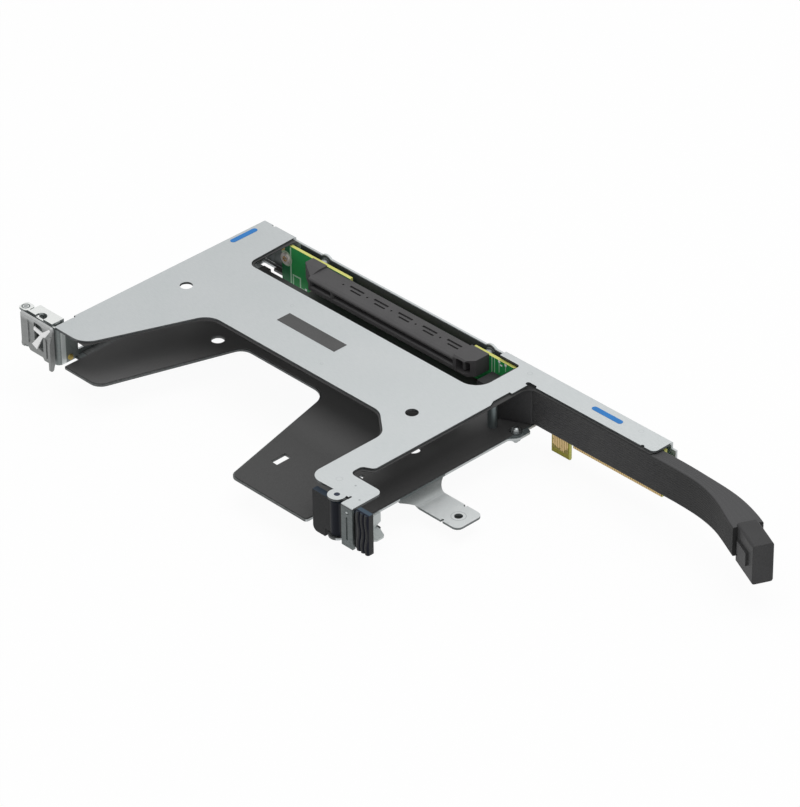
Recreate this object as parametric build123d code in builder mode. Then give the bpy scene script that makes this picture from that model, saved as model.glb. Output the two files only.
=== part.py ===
from build123d import *
import os
from math import pi, radians, tan

# Server riser: a folded steel cage that holds one expansion card flat above a low server's main board.
# Its own board stands on edge along the cage, carries the card slot and plugs into the main board.
# All sizes are millimetres.

# The cage's outer corner (rear, board side, top) is where plan sizes are taken from.
# The frame's origin is the foot's screw hole, on the underside of the foot.
foot_hole_x = 192.0
foot_hole_y = -72.4
foot_drop = 6.4
cage_height = 19.6
sheet = 1.0
corner = Plane(origin=(-foot_hole_x, -foot_hole_y, cage_height + foot_drop))

# Top plate
rail_length = 241.0
rail_width = 11.1
rear_leg_depth = 120.0
rear_leg_tip = 19.0
rear_leg_root = 40.2
strip_depth = 67.9
arm_left = 155.2
arm_right = 170.9
arm_depth = 119.8
nose_right = 185.0
nose_length = 12.7
nose_back = arm_depth - nose_length
corner_relief = 5.4
arm_step = 1.4
bend = 0.7
plate_hole = 5.6
rear_hole_x = 15.8
arm_hole_x = 152.2
hole_y = -59.5

# Window over the card slot
window_left = 19.8
window_right = 158.8
window_depth = 29.4
window_step = 147.0
window_ledge = 4.0
wall_drop = 1.3

# Films
film = 0.3
film_lip = 0.7

# Lower plate
lower_rear = 4.8
lower_leg_depth = 119.0
lower_leg_tip = 31.0
lower_leg_root = 47.0
lower_strip_depth = 55.9
lower_arm_root = 97.0
lower_arm_tip = 113.2
lower_nose_depth = arm_depth + 4.2
lower_right = 173.5
lower_back = -1.0
lower_hole = 5.8
lower_hole_x = 34.7
film_edge = 0.5
card_clip_slot = (119.3, -101.7)
arm_slot = (151.5, -87.0)
# Stepped cut-out at the rear corner, whose long part lets the board's foot through
step_slot_left = 2.0
step_slot_turn = 9.6
step_slot_board = 15.2
step_slot_right = 34.6
step_slot_back = -2.8
step_slot_middle = -4.6
step_slot_near = -5.9
step_slot_front = -7.3
# Lanced tab by the nose that rests at the foot's height
tab_far = -99.7
tab_near = -107.5
tab_reach = 5.1
seam_top = -13.0
seam_left = 26.0
seam_right = 150.0
seam_rivets = [34.0, 88.0, 142.0]

# Foot
foot_length = 25.5
foot_near = -79.4
foot_far = -64.8
foot_hole = 3.6
foot_web_x = 173.0
foot_flange = 15.0
foot_bends = [1.2, 4.0]
web_near = -86.5
web_far = -62.3

# Riser board, on edge, with its slot side facing the card
board_thickness = 1.6
board_face = -5.0
board_left = 15.8
board_right = 241.0
board_top = -2.0
board_bottom = -17.2
board_cut_left = 58.4
board_cut_right = 132.4
board_cut_depth = 4.2
board_foot_right = 33.4
board_foot_bottom = -22.6
power_tab_left = 178.0
power_tab_right = 188.0
power_tab_bottom = -32.4
signal_row_left = 190.3
signal_row_right = 240.2
signal_row_bottom = -25.0
finger_thickness = 0.1
finger_pitch = 1.0
finger_width = 0.7

# Card slot
slot_left = 35.7
slot_right = 141.6
slot_height = 11.2
slot_width = 7.8
slot_centre_z = -5.4
groove_width = 1.8
groove_depth = 8.0
groove_short_left = 46.0
groove_short = 11.65
groove_long_left = 59.55
groove_long = 71.65
contact_pitch = 1.0
contact_width = 0.6
contact_length = 4.8
slot_step = 0.9

# Standoffs and screws between the back wall and the board
screw_head = 5.6
screw_head_height = 0.9
standoff_radius = 2.4
screw_radius = 1.25
screw_point = (18.5, -9.2)
wall_screw_points = [(206.0, -8.6), (152.0, -7.0)]
wall_screw_head = 5.2
wall_screw_height = 0.9
hump_points = [(39.5, -4.4), (138.6, -4.4)]
hump_radius = 4.2

# Card-end latch: one moulding on an upright pin, with a pad one side and a ribbed grip the other
latch_pin_x = 173.1
latch_pin_y = -arm_depth - 1.1
latch_pin = 2.5
latch_clearance = 0.05
latch_ear = 3.9
latch_barrel = 3.0
latch_play = 0.3
strip_left = 178.6
strip_y = -arm_depth - 3.2
pad_left = 161.0
pad_thickness = 2.8
pad_front = strip_y
pad_top = -2.2
pad_bottom = -21.8
pad_notch_left = 167.9
grip_left = 189.0
grip_right = 196.0
grip_front = strip_y - 3.2
grip_back = strip_y
grip_top = 2.7
grip_bottom = -16.1
grip_web = 3.0
rib_pitch = 2.3
rib_depth = 0.8

# Rear latch: a steel gate on an upright pin that clamps the card bracket's tab
gate_pin_x = -19.6
gate_pin_y = -117.9
gate_pin = 2.0
gate_barrel = 2.0
gate_sheet = 1.2
gate_front = -122.1
gate_end = 1.6
gate_height = 17.0
gate_flat = -18.4
gate_top = -0.2
gate_knee = -15.4
gate_hem = -17.0
gate_foot = -18.2
blade_foot = -20.8
window_rear = -9.8
window_front = -4.4
ledge_y = -119.5
ledge_left = -17.0
shelf_back = -113.0
shelf_drop = 9.0
ear_size = 5.4
leaf_edge = -109.0
notch_x = -9.0
notch_radius = 2.6

# Rivets, guide stud and the post between the plates
rivet_radius = 1.2
rivet_head = 2.0
rivet_height = 0.6
guide_x = 172.0
guide_y = -19.9
guide_radius = 2.0
guide_washer = 2.8
guide_shank = 1.3
guide_reach = 4.0
post_x = 162.5
post_y = -23.9
post_radius = 2.1

# Bare label and touch marks on the top plate
label_left = 62.5
label_right = 97.1
label_near = -50.8
label_far = -43.5
mark_width = 2.6
rear_mark_left = 1.9
rear_mark_near = -22.6
rear_mark_far = -7.7
rail_mark_left = 201.0
rail_mark_right = 217.5
rail_mark_near = -6.3
ink = 0.1

# Cable bundle and its plugs
cable_thick = 6.4
cable_wide = 16.4
cable_corner = 1.2
cable_mid_z = -9.8
cable_y = -8.55
plug_left = 156.6
plug_right = 173.5
plug_depth = 15.6
plug_slope = 8.5
plug_tail_left = 143.6
plug_tail_top = -9.2
plug_tail_depth = 9.0
plug_height = 16.4
plug_seat = 1.0
far_plug_length = 17.0
far_plug_thick = 9.0
far_plug_wide = 18.4


def level(z):
    """A horizontal plane at height z over the top plate's face, with plan axes."""
    return corner.offset(z)


def across(x):
    """An upright plane facing +X, with plan Y and height as its axes."""
    return Plane(origin=corner.from_local_coords(Vector(x, 0, 0)), x_dir=(0, 1, 0), z_dir=(1, 0, 0))


def along(y):
    """An upright plane facing -Y, with plan X and height as its axes."""
    return Plane(origin=corner.from_local_coords(Vector(0, y, 0)), x_dir=(1, 0, 0), z_dir=(0, -1, 0))


def box_between(x, y, z):
    """A block between two plan positions and two heights, each given as a pair."""
    centre = ((x[0] + x[1]) / 2, (y[0] + y[1]) / 2)
    with BuildSketch(level(min(z))) as block:
        with Locations(centre):
            Rectangle(abs(x[1] - x[0]), abs(y[1] - y[0]))
    extrude(block.sketch, amount=abs(z[1] - z[0]))


def save(piece, name):
    piece.part.label = name
    export_step(piece.part, f"parts/{name}.step")


os.makedirs("parts", exist_ok=True)

lower_top = sheet - cage_height
lower_film_top = lower_top + film
seam_z = (seam_top + lower_top) / 2
seam_rivets_at = [(x, seam_z) for x in seam_rivets]
foot_rivets_at = [(foot_web_x - foot_flange / 2 - 1.0, y) for y in (foot_near + 3.5, foot_far - 3.5)]
leaf_rivets_at = [(leaf_edge - 4.0, -17.6), (leaf_edge - 2.3, -3.6)]
guide_at = (guide_x, guide_y)
wall_points = [*wall_screw_points, *hump_points]
step_slots = [
    ((step_slot_left, step_slot_turn + 0.4), (step_slot_near, step_slot_back)),
    ((step_slot_turn, step_slot_board + 0.4), (step_slot_front, step_slot_middle)),
    ((step_slot_board, step_slot_right), (step_slot_front, step_slot_back)),
]
latch_pin_at = (latch_pin_x, latch_pin_y)
gate_pin_at = (gate_pin_x, gate_pin_y)


# Top plate: one folded sheet with the rear wall, the back wall and the nose strip
plate_corners = [
    (0, 0, 0),
    (rail_length, 0, 0),
    (rail_length, -rail_width, 2.5),
    (arm_right, -rail_width, 0),
    (arm_right, -21.0, 0),
    (arm_right - arm_step, -21.0, 0),
    (arm_right - arm_step, -30.4, 1.0),
    (arm_right, -33.2, 1.2),
    (arm_right, 9.0 - nose_back, 2.5),
    (arm_right - 5.0, 6.4 - nose_back, 2.5),
    (arm_right - 5.0, -nose_back, 2.6),
    (nose_right, -nose_back, 3.2),
    (nose_right, strip_y - sheet, 0),
    (strip_left, strip_y - sheet, 0),
    (strip_left, 0.8 - arm_depth, 0.4),
    (arm_left, -arm_depth, 6.0),
    (arm_left, -strip_depth - 10.5, 8.0),
    (arm_left - 13.0, -strip_depth, 9.0),
    (rear_leg_root, -strip_depth, 9.0),
    (rear_leg_tip, -rear_leg_depth, 9.0),
    (1.2, -rear_leg_depth, 0.8),
    (1.2, -109.5, 0),
    (0, -109.5, 0),
]
with BuildPart() as top_plate:
    with BuildSketch(level(-sheet)):
        with BuildLine():
            FilletPolyline(
                [(x, y) for x, y, r in plate_corners],
                radius=[r for x, y, r in plate_corners],
                close=True,
            )
        make_face()
        with Locations(latch_pin_at):
            Circle(latch_ear)
    extrude(amount=sheet)
    box_between((0, sheet), (leaf_edge - 6.0, -sheet), (-cage_height, -sheet))
    box_between((6.6, rail_length), (-sheet, 0), (lower_film_top, -sheet))
    box_between((strip_left, nose_right), (strip_y - sheet, strip_y), (-cage_height, -sheet))
    fillet(top_plate.edges().filter_by(Axis.X).group_by(Axis.Z)[-1].group_by(Axis.Y)[-1], bend)
    fillet(top_plate.edges().filter_by(Axis.X).group_by(Axis.Z)[-1].group_by(Axis.Y)[0], bend)
    fillet(top_plate.edges().filter_by(Axis.Y).group_by(Axis.Z)[-1].group_by(Axis.X)[0], bend)
    with BuildSketch(along(1.0)):
        with Locations(((window_left + window_step) / 2, 0)):
            Rectangle(window_step - window_left, 2 * wall_drop)
    extrude(amount=3.5, mode=Mode.SUBTRACT)
    with BuildSketch(level(0)):
        with BuildLine():
            FilletPolyline(
                (window_left, -2.0),
                (window_left + 1.2, -window_depth),
                (window_right, -window_depth),
                (window_right, -window_ledge),
                (window_step, -window_ledge),
                (window_step, -2.0),
                radius=[4.5, 8.5, 1.6, 0],
            )
            Line((window_step, -2.0), (window_left, -2.0))
        make_face()
    extrude(amount=-wall_drop, mode=Mode.SUBTRACT)
    with BuildSketch(level(0)):
        with Locations((rear_hole_x, hole_y), (arm_hole_x, hole_y)):
            Circle(plate_hole / 2)
        with Locations(latch_pin_at):
            Circle(latch_pin / 2)
        with Locations((0.4, -109.3)):
            Circle(1.1)
        with Locations((6.4, -0.4)):
            Circle(1.0)
        with Locations((arm_right + 1.1, -rail_width)):
            SlotOverall(corner_relief, 2.2)
        with Locations((rail_length - 6.5, -rail_width)):
            Circle(0.9)
        with Locations((strip_left - 0.3, 0.6 - arm_depth)):
            SlotOverall(2.6, 1.0, rotation=90)
    extrude(amount=-2 * sheet, mode=Mode.SUBTRACT)
    # Opening for the card's bracket in the rear wall
    with BuildSketch(across(0)):
        with Locations((-58.2, -9.25)):
            Rectangle(100.2, 14.9)
    extrude(amount=sheet, mode=Mode.SUBTRACT)
    # Round humps that carry the board's upper standoffs, and the wall's screw holes
    with BuildSketch(along(0)):
        with Locations(*hump_points):
            Circle(hump_radius)
    extrude(amount=sheet)
    with BuildSketch(along(0)):
        with Locations(screw_point, *wall_points):
            Circle(screw_radius + 0.25)
    extrude(amount=sheet, mode=Mode.SUBTRACT)
    with BuildSketch(along(0)):
        with Locations(*seam_rivets_at):
            Circle(rivet_radius)
    extrude(amount=sheet, mode=Mode.SUBTRACT)
    with BuildSketch(across(0)):
        with Locations(*leaf_rivets_at):
            Circle(rivet_radius)
    extrude(amount=sheet, mode=Mode.SUBTRACT)
    # Ventilation slots low in the back wall
    with BuildSketch(along(0)):
        with Locations((77.0, -11.0)):
            with GridLocations(17.0, 0, 5, 1):
                SlotOverall(12.0, 3.4)
    extrude(amount=sheet, mode=Mode.SUBTRACT)
    # Short hook that locates the rail's end
    box_between((rail_length, rail_length + 2.4), (-sheet, 0), (-14.0, -3.0))
    # Pressed groove and dimple that stiffen the nose strip
    strip_mid = (strip_left + nose_right) / 2
    with BuildSketch(along(strip_y - sheet)):
        with Locations((strip_mid, -11.0)):
            SlotOverall(11.5, 1.1, rotation=90)
    extrude(amount=-0.45, mode=Mode.SUBTRACT)
    with BuildSketch(along(strip_y - sheet)):
        with Locations((strip_mid, -3.6)):
            Circle(0.8)
    extrude(amount=0.4, taper=30)
save(top_plate, "top_plate")


# Film under the top plate: the same outline, showing as a dark line past the near edges
with BuildPart() as top_film:
    with BuildSketch(level(-sheet - film)) as top_film_face:
        with BuildLine():
            FilletPolyline(
                (2.2, -sheet - 0.4),
                (rail_length - 1.0, -sheet - 0.4),
                (rail_length - 1.0, -rail_width - film_lip),
                (arm_right + film_lip, -rail_width - film_lip),
                (arm_right + film_lip, 8.0 - nose_back),
                (arm_right - 4.0, 5.4 - nose_back),
                (arm_right - 4.0, -nose_back),
                (arm_left + 10.0, -arm_depth + 3.6),
                (arm_left - film_lip, -arm_depth + 3.6),
                (arm_left - film_lip, -strip_depth - 10.5 - film_lip),
                (arm_left - 13.3, -strip_depth - film_lip),
                (rear_leg_root + 0.2, -strip_depth - film_lip),
                (rear_leg_tip + film_lip, -rear_leg_depth - film_lip + 0.9),
                (3.4, -rear_leg_depth - film_lip + 0.9),
                radius=[0.4, 2.5, 1.2, 5.0, 2.0, 2.0, 3.0, 3.0, 7.0, 9.0, 8.5, 8.8, 0.6, 0.4],
                close=True,
            )
        make_face()
        with Locations(((window_left + window_right) / 2 + 0.5, -window_depth / 2 + 0.6)):
            RectangleRounded(
                window_right - window_left - 2.2, window_depth + 0.2, 5.0, mode=Mode.SUBTRACT
            )
        with Locations((rear_hole_x, hole_y), (arm_hole_x, hole_y)):
            Circle(plate_hole / 2 + 0.4, mode=Mode.SUBTRACT)
    extrude(amount=film)
save(top_film, "top_film")


# Film on the inside of the back wall
with BuildPart() as wall_film:
    with BuildSketch(along(-sheet)):
        with Locations(((24.0 + rail_length - 3.0) / 2, (seam_top - wall_drop) / 2)):
            Rectangle(rail_length - 27.0, -wall_drop - seam_top - 0.6)
        with Locations(*hump_points):
            Circle(hump_radius - 0.4)
        with Locations(screw_point, *wall_points):
            Circle(standoff_radius + 0.5, mode=Mode.SUBTRACT)
        with Locations((77.0, -11.0)):
            with GridLocations(17.0, 0, 5, 1):
                SlotOverall(12.0, 3.4, mode=Mode.SUBTRACT)
    extrude(amount=film)
save(wall_film, "wall_film")


# Lower plate: a flat sheet with a turned-up back edge, lugs for the latch pin and the strip's foot
lower_corners = [
    (lower_rear, lower_back, 0.5),
    (lower_right + 0.4, lower_back, 1.0),
    (lower_right + 0.4, -14.6, 0.5),
    (lower_right + 2.9, -15.6, 1.2),
    (lower_right + 2.9, -22.6, 3.5),
    (lower_right, -26.0, 2.0),
    (lower_right, 16.8 - arm_depth, 2.0),
    (nose_right + 1.5, 4.4 - arm_depth, 1.0),
    (nose_right + 1.5, 1.8 - arm_depth, 1.0),
    (nose_right, 0.8 - arm_depth, 0.3),
    (nose_right, strip_y + 0.1, 0),
    (strip_left, strip_y + 0.1, 0),
    (strip_left, 2.8 - arm_depth, 0.5),
    (pad_left - 3.0, 2.8 - arm_depth, 1.0),
    (pad_left - 3.0, -lower_nose_depth, 1.5),
    (lower_arm_tip, -lower_nose_depth, 4.0),
    (lower_arm_root, -lower_strip_depth, 9.0),
    (lower_leg_root, -lower_strip_depth, 6.0),
    (lower_leg_tip - 5.0, -lower_leg_depth, 6.0),
    (lower_rear, -lower_leg_depth, 0.8),
]
with BuildPart() as lower_plate:
    with BuildSketch(level(lower_top - sheet)):
        with BuildLine():
            FilletPolyline(
                [(x, y) for x, y, r in lower_corners],
                radius=[r for x, y, r in lower_corners],
                close=True,
            )
        make_face()
        with Locations(latch_pin_at):
            Circle(latch_ear)
        with Locations((latch_pin_x, latch_pin_y + latch_ear)):
            Rectangle(2 * latch_ear - 1.4, 2 * latch_ear)
    extrude(amount=sheet)
    box_between((seam_left, seam_right), (lower_back - sheet, lower_back), (lower_top - sheet, seam_top))
    box_between((sheet, lower_rear + 0.5), (-106.0, -sheet), (lower_top - sheet, lower_top))
    # Lanced tab under the right edge, by the nose
    box_between((lower_right - 2.6, lower_right - 1.6), (tab_near, tab_far), (lower_top - foot_drop, lower_top - sheet))
    with BuildSketch(level(lower_top - foot_drop)):
        with Locations((lower_right - 2.6 + tab_reach / 2, (tab_near + tab_far) / 2)):
            RectangleRounded(tab_reach, tab_far - tab_near, 0.9)
    extrude(amount=-sheet)
    with BuildSketch(across(lower_right - 2.6)):
        with Locations((tab_far - 2.6, lower_top - foot_drop + 2.4)):
            RegularPolygon(1.9, 3, rotation=180)
    extrude(amount=sheet, mode=Mode.SUBTRACT)
    with BuildSketch(along(lower_back)):
        with Locations(*seam_rivets_at):
            Circle(rivet_radius)
    extrude(amount=sheet, mode=Mode.SUBTRACT)
    with BuildSketch(level(lower_top)):
        with Locations((lower_hole_x, hole_y), (arm_hole_x - 0.2, hole_y + 0.8)):
            Circle(lower_hole / 2)
        with Locations(latch_pin_at):
            Circle(latch_pin / 2)
        with Locations(*foot_rivets_at):
            Circle(rivet_radius)
        with Locations(guide_at):
            Circle(guide_shank)
        with Locations(arm_slot):
            Rectangle(2.2, 1.9)
        with Locations(card_clip_slot):
            Rectangle(3.9, 8.0)
        for x, y in step_slots:
            with Locations((sum(x) / 2, sum(y) / 2)):
                Rectangle(x[1] - x[0], y[1] - y[0])
    extrude(amount=-sheet, mode=Mode.SUBTRACT)
save(lower_plate, "lower_plate")


# Film on the lower plate's top, set back a little from its edges
with BuildPart() as lower_film:
    with BuildSketch(level(lower_top)):
        with BuildLine():
            FilletPolyline(
                (lower_rear + film_edge, lower_back - 1.2),
                (lower_right - film_edge, lower_back - 1.2),
                (lower_right - film_edge, 3.8 - arm_depth),
                (pad_left - 3.0 - film_edge, 3.8 - arm_depth),
                (pad_left - 3.0 - film_edge, film_edge - lower_nose_depth),
                (lower_arm_tip + film_edge, film_edge - lower_nose_depth),
                (lower_arm_root + film_edge, film_edge - lower_strip_depth),
                (lower_leg_root - film_edge, film_edge - lower_strip_depth),
                (lower_leg_tip - 5.0 - film_edge, film_edge - lower_leg_depth),
                (lower_rear + film_edge, film_edge - lower_leg_depth),
                radius=[0.5, 1.0, 1.0, 1.0, 1.5, 4.0, 9.0, 6.0, 6.0, 0.8],
                close=True,
            )
        make_face()
        with Locations((lower_hole_x, hole_y), (arm_hole_x - 0.2, hole_y + 0.8)):
            Circle(lower_hole / 2 + 0.2, mode=Mode.SUBTRACT)
        with Locations(guide_at):
            Circle(guide_shank, mode=Mode.SUBTRACT)
        with Locations(arm_slot):
            Rectangle(2.2, 1.9, mode=Mode.SUBTRACT)
        with Locations(card_clip_slot):
            Rectangle(3.9, 8.0, mode=Mode.SUBTRACT)
        for x, y in step_slots:
            with Locations((sum(x) / 2, sum(y) / 2)):
                Rectangle(x[1] - x[0], y[1] - y[0], mode=Mode.SUBTRACT)
    extrude(amount=film)
save(lower_film, "lower_film")


# Foot: a joggled bracket under the lower plate, with the screw hole that fixes the riser
foot_top = lower_top - foot_drop
foot_middle = (foot_near + foot_far) / 2
with BuildPart() as foot_bracket:
    with BuildSketch(along(web_far)):
        with BuildLine() as foot_line:
            FilletPolyline(
                (foot_web_x - foot_flange, lower_top - sheet),
                (foot_web_x, lower_top - sheet),
                (foot_web_x, foot_top),
                (foot_web_x + foot_length, foot_top),
                radius=foot_bends,
            )
            offset(amount=sheet, side=Side.RIGHT)
        make_face()
    extrude(amount=web_far - web_near)
    # The web tapers down to the narrower pad
    with BuildSketch(across(foot_web_x - foot_flange)):
        with BuildLine():
            Polyline(
                (web_near - 1.0, lower_top - 2.2),
                (foot_near, foot_top + 0.2),
                (foot_near, foot_top - 2 * sheet),
                (web_near - 1.0, foot_top - 2 * sheet),
                close=True,
            )
        make_face()
        with BuildLine():
            Polyline(
                (web_far + 1.0, lower_top - 1.4),
                (web_far, lower_top - 1.4),
                (foot_far, foot_top + 0.2),
                (foot_far, foot_top - 2 * sheet),
                (web_far + 1.0, foot_top - 2 * sheet),
                close=True,
            )
        make_face()
    extrude(amount=foot_flange + foot_length, mode=Mode.SUBTRACT)
    with BuildSketch(level(foot_top)):
        with Locations((foot_hole_x, foot_hole_y)):
            Circle(foot_hole / 2)
        with Locations((foot_hole_x - 2.6, foot_near), (foot_hole_x - 3.3, foot_far)):
            SlotOverall(2.6, 1.1, rotation=90)
    extrude(amount=-sheet, mode=Mode.SUBTRACT)
    with BuildSketch(level(lower_top - sheet)):
        with Locations(*foot_rivets_at):
            Circle(rivet_radius)
    extrude(amount=-sheet, mode=Mode.SUBTRACT)
    fillet(foot_bracket.edges().filter_by(Axis.Z).group_by(Axis.X)[-1], 3.0)
save(foot_bracket, "foot_bracket")


# Rivets
with BuildPart() as foot_rivets:
    with BuildSketch(level(lower_top - 2 * sheet)):
        with Locations(*foot_rivets_at):
            Circle(rivet_head)
    extrude(amount=-rivet_height, taper=20)
    with BuildSketch(level(lower_top)):
        with Locations(*foot_rivets_at):
            Circle(rivet_radius)
    extrude(amount=-2 * sheet)
save(foot_rivets, "foot_rivets")

with BuildPart() as seam_rivet_row:
    with BuildSketch(along(0)):
        with Locations(*seam_rivets_at):
            Circle(rivet_head)
    extrude(amount=-rivet_height, taper=20)
    with BuildSketch(along(0)):
        with Locations(*seam_rivets_at):
            Circle(rivet_radius)
    extrude(amount=2 * sheet)
save(seam_rivet_row, "seam_rivets")


# Riser board
board_slot_side = along(board_face + board_thickness)
board_outline = [
    (board_left, board_top),
    (board_cut_left, board_top),
    (board_cut_left, board_top - board_cut_depth),
    (board_cut_right, board_top - board_cut_depth),
    (board_cut_right, board_top),
    (board_right, board_top),
    (board_right, board_bottom),
    (signal_row_right, board_bottom),
    (signal_row_right, signal_row_bottom),
    (signal_row_left, signal_row_bottom),
    (signal_row_left, board_bottom),
    (power_tab_right, board_bottom),
    (power_tab_right, power_tab_bottom),
    (power_tab_left, power_tab_bottom),
    (power_tab_left, board_bottom),
    (board_foot_right, board_bottom),
    (board_foot_right, board_foot_bottom),
    (board_left, board_foot_bottom),
]
with BuildPart() as riser_board:
    with BuildSketch(board_slot_side):
        with BuildLine():
            Polyline(*board_outline, close=True)
        make_face()
        with Locations(screw_point):
            Circle(1.6, mode=Mode.SUBTRACT)
        with Locations((board_left, -4.4)):
            Circle(1.2, mode=Mode.SUBTRACT)
    extrude(amount=board_thickness)
    tab_edges = riser_board.edges().filter_by(Axis.X).group_by(Axis.Z)
    chamfer(tab_edges[0], 0.4)
save(riser_board, "riser_board")


# Gold fingers on both faces of the board's two edge tabs
def finger_rows(left, right, bottom, top):
    """Contact pads in a row along X, one set on each face of the board."""
    count = int((right - left - 0.8) / finger_pitch)
    centre = ((left + right) / 2, (bottom + 0.6 + top) / 2)
    for face, side in ((board_face, 1), (board_face + board_thickness, -1)):
        with BuildSketch(along(face)) as pads:
            with Locations(centre):
                with GridLocations(finger_pitch, 0, count, 1):
                    Rectangle(finger_width, top - bottom - 0.6)
        extrude(pads.sketch, amount=side * finger_thickness)


with BuildPart() as power_fingers:
    finger_rows(power_tab_left, power_tab_right, power_tab_bottom + 2.0, board_bottom)
save(power_fingers, "power_fingers")

with BuildPart() as signal_fingers:
    finger_rows(signal_row_left, signal_row_right, signal_row_bottom - 0.6, board_bottom)
save(signal_fingers, "signal_fingers")


# Card slot: long moulded body on the board, with a ramped ear, a latch block and two grooves
slot_front = board_face - slot_height
slot_top = slot_centre_z + slot_width / 2
slot_body_left = slot_left + 8.6
slot_block = slot_right - 10.0
groove_at = [
    (groove_short_left + groove_short / 2, groove_short),
    (groove_long_left + groove_long / 2, groove_long),
]
with BuildPart() as card_slot:
    with BuildSketch(level(slot_top - slot_width)):
        with BuildLine():
            Polyline(
                (slot_left, board_face),
                (slot_left, board_face - 4.6),
                (slot_body_left, slot_front + 1.4),
                (slot_body_left, slot_front),
                (slot_right - 3.5, slot_front),
                (slot_right, slot_front + 3.5),
                (slot_right, board_face),
                close=True,
            )
        make_face()
    extrude(amount=slot_width)
    # The ear and the latch block stand a little over the body between them
    with BuildSketch(level(slot_top)):
        with Locations(((slot_body_left + slot_block) / 2, board_face - slot_height / 2)):
            Rectangle(slot_block - slot_body_left, slot_height)
    extrude(amount=-slot_step, mode=Mode.SUBTRACT)
    chamfer(card_slot.edges().filter_by(Axis.X).group_by(Axis.Y)[0], 0.8)
    for x, length in groove_at:
        with BuildSketch(along(slot_front)):
            with Locations((x, slot_centre_z)):
                Rectangle(length, groove_width)
        extrude(amount=-groove_depth, mode=Mode.SUBTRACT)
        with BuildSketch(along(slot_front)):
            with Locations((x, slot_centre_z)):
                Rectangle(length + 0.8, groove_width + 1.0)
        extrude(amount=-0.7, taper=32, mode=Mode.SUBTRACT)
    # Moulding recesses along the top, and the step where the ear meets the body
    with BuildSketch(level(slot_top - slot_step)):
        with Locations(((groove_long_left + slot_block) / 2, board_face - 3.4)):
            with GridLocations(14.6, 0, 5, 1):
                Rectangle(8.4, 1.2)
        with Locations(((groove_long_left + slot_block) / 2 + 1.2, board_face - 5.6)):
            with GridLocations(14.6, 0, 5, 1):
                Rectangle(6.2, 1.0)
        with Locations(((groove_long_left + slot_block) / 2 - 7.3, board_face - 4.6)):
            with GridLocations(14.6, 0, 5, 1):
                Circle(0.5)
    extrude(amount=-0.8, mode=Mode.SUBTRACT)
    with BuildSketch(across(slot_left)):
        with BuildLine():
            Polyline(
                (board_face - 4.2, slot_top),
                (slot_front, slot_top),
                (slot_front, slot_top - 1.3),
                close=True,
            )
        make_face()
    extrude(amount=slot_block - slot_left, mode=Mode.SUBTRACT)
    # Cavity of the latch block at the far end of the slot
    with BuildSketch(along(slot_front)):
        with Locations((slot_right - 5.0, slot_centre_z + 0.4)):
            RectangleRounded(6.6, slot_width - 2.2, 1.0)
    extrude(amount=-5.0, mode=Mode.SUBTRACT)
    # Latch hook standing in the cavity
    box_between((slot_right - 5.8, slot_right - 4.2), (slot_front + 1.6, slot_front + 5.0), (slot_top - 5.6, slot_top - 1.2))
save(card_slot, "card_slot")


# Slot contacts: a bowed strip down each wall of both grooves, cut into separate spring blades
contact_start = slot_front + 2.6
with BuildPart() as slot_contacts:
    for x, length in groove_at:
        for side in (1, -1):
            wall = slot_centre_z + side * groove_width / 2
            with BuildSketch(across(x - length / 2 + 0.2)) as strip:
                with BuildLine():
                    Polyline(
                        (contact_start, wall),
                        (contact_start + 1.8, wall - side * 0.55),
                        (contact_start + contact_length, wall - side * 0.2),
                        (contact_start + contact_length, wall),
                        close=True,
                    )
                make_face()
            extrude(strip.sketch, amount=length - 0.4)
    with BuildSketch(level(slot_centre_z - groove_width)):
        for x, length in groove_at:
            with Locations((x, contact_start + contact_length / 2)):
                with GridLocations(contact_pitch, 0, int((length - 0.4) / contact_pitch), 1):
                    Rectangle(contact_width, contact_length + 1.0)
    extrude(amount=2 * groove_width, mode=Mode.INTERSECT)
save(slot_contacts, "slot_contacts")


# Standoffs between the back wall and the board
with BuildPart() as board_standoffs:
    with BuildSketch(along(-sheet)):
        with Locations(screw_point, *wall_screw_points):
            RegularPolygon(standoff_radius, 6)
        with Locations(*hump_points):
            Circle(standoff_radius)
        with Locations(screw_point, *wall_points):
            Circle(screw_radius, mode=Mode.SUBTRACT)
    extrude(amount=-sheet - board_face - board_thickness)
save(board_standoffs, "board_standoffs")

# Flat pan-head screw on the board's slot side, where nothing else covers it
with BuildPart() as board_screws:
    with BuildSketch(along(board_face)):
        with Locations(screw_point):
            Circle(screw_head / 2)
    extrude(amount=screw_head_height)
    chamfer(board_screws.edges().filter_by(GeomType.CIRCLE).group_by(Axis.Y)[0], 0.35)
    with BuildSketch(along(board_face - screw_head_height)):
        with Locations(screw_point):
            Rectangle(2.4, 0.5)
            Rectangle(0.5, 2.4)
    extrude(amount=-0.6, mode=Mode.SUBTRACT)
    with BuildSketch(along(board_face)):
        with Locations(screw_point):
            Circle(screw_radius)
    extrude(amount=board_face + sheet)
save(board_screws, "board_screws")

# Low-head screws through the back wall, where the slot or the cable covers the board
with BuildPart() as wall_screws:
    with BuildSketch(along(0)):
        with Locations(*wall_points):
            Circle(wall_screw_head / 2)
    extrude(amount=-wall_screw_height)
    chamfer(wall_screws.edges().filter_by(GeomType.CIRCLE).group_by(Axis.Y)[-1], 0.3)
    with BuildSketch(along(wall_screw_height)):
        with Locations(*wall_points):
            RegularPolygon(1.2, 6)
    extrude(amount=0.6, mode=Mode.SUBTRACT)
    with BuildSketch(along(0)):
        with Locations(*wall_points):
            Circle(screw_radius)
    extrude(amount=-board_face - board_thickness)
save(wall_screws, "wall_screws")


# Post between the plates, with a neck in the lower plate
with BuildPart() as plate_post:
    with BuildSketch(level(lower_film_top)):
        with Locations((post_x, post_y)):
            Circle(post_radius)
    extrude(amount=-sheet - film - lower_film_top)
save(plate_post, "plate_post")


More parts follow.
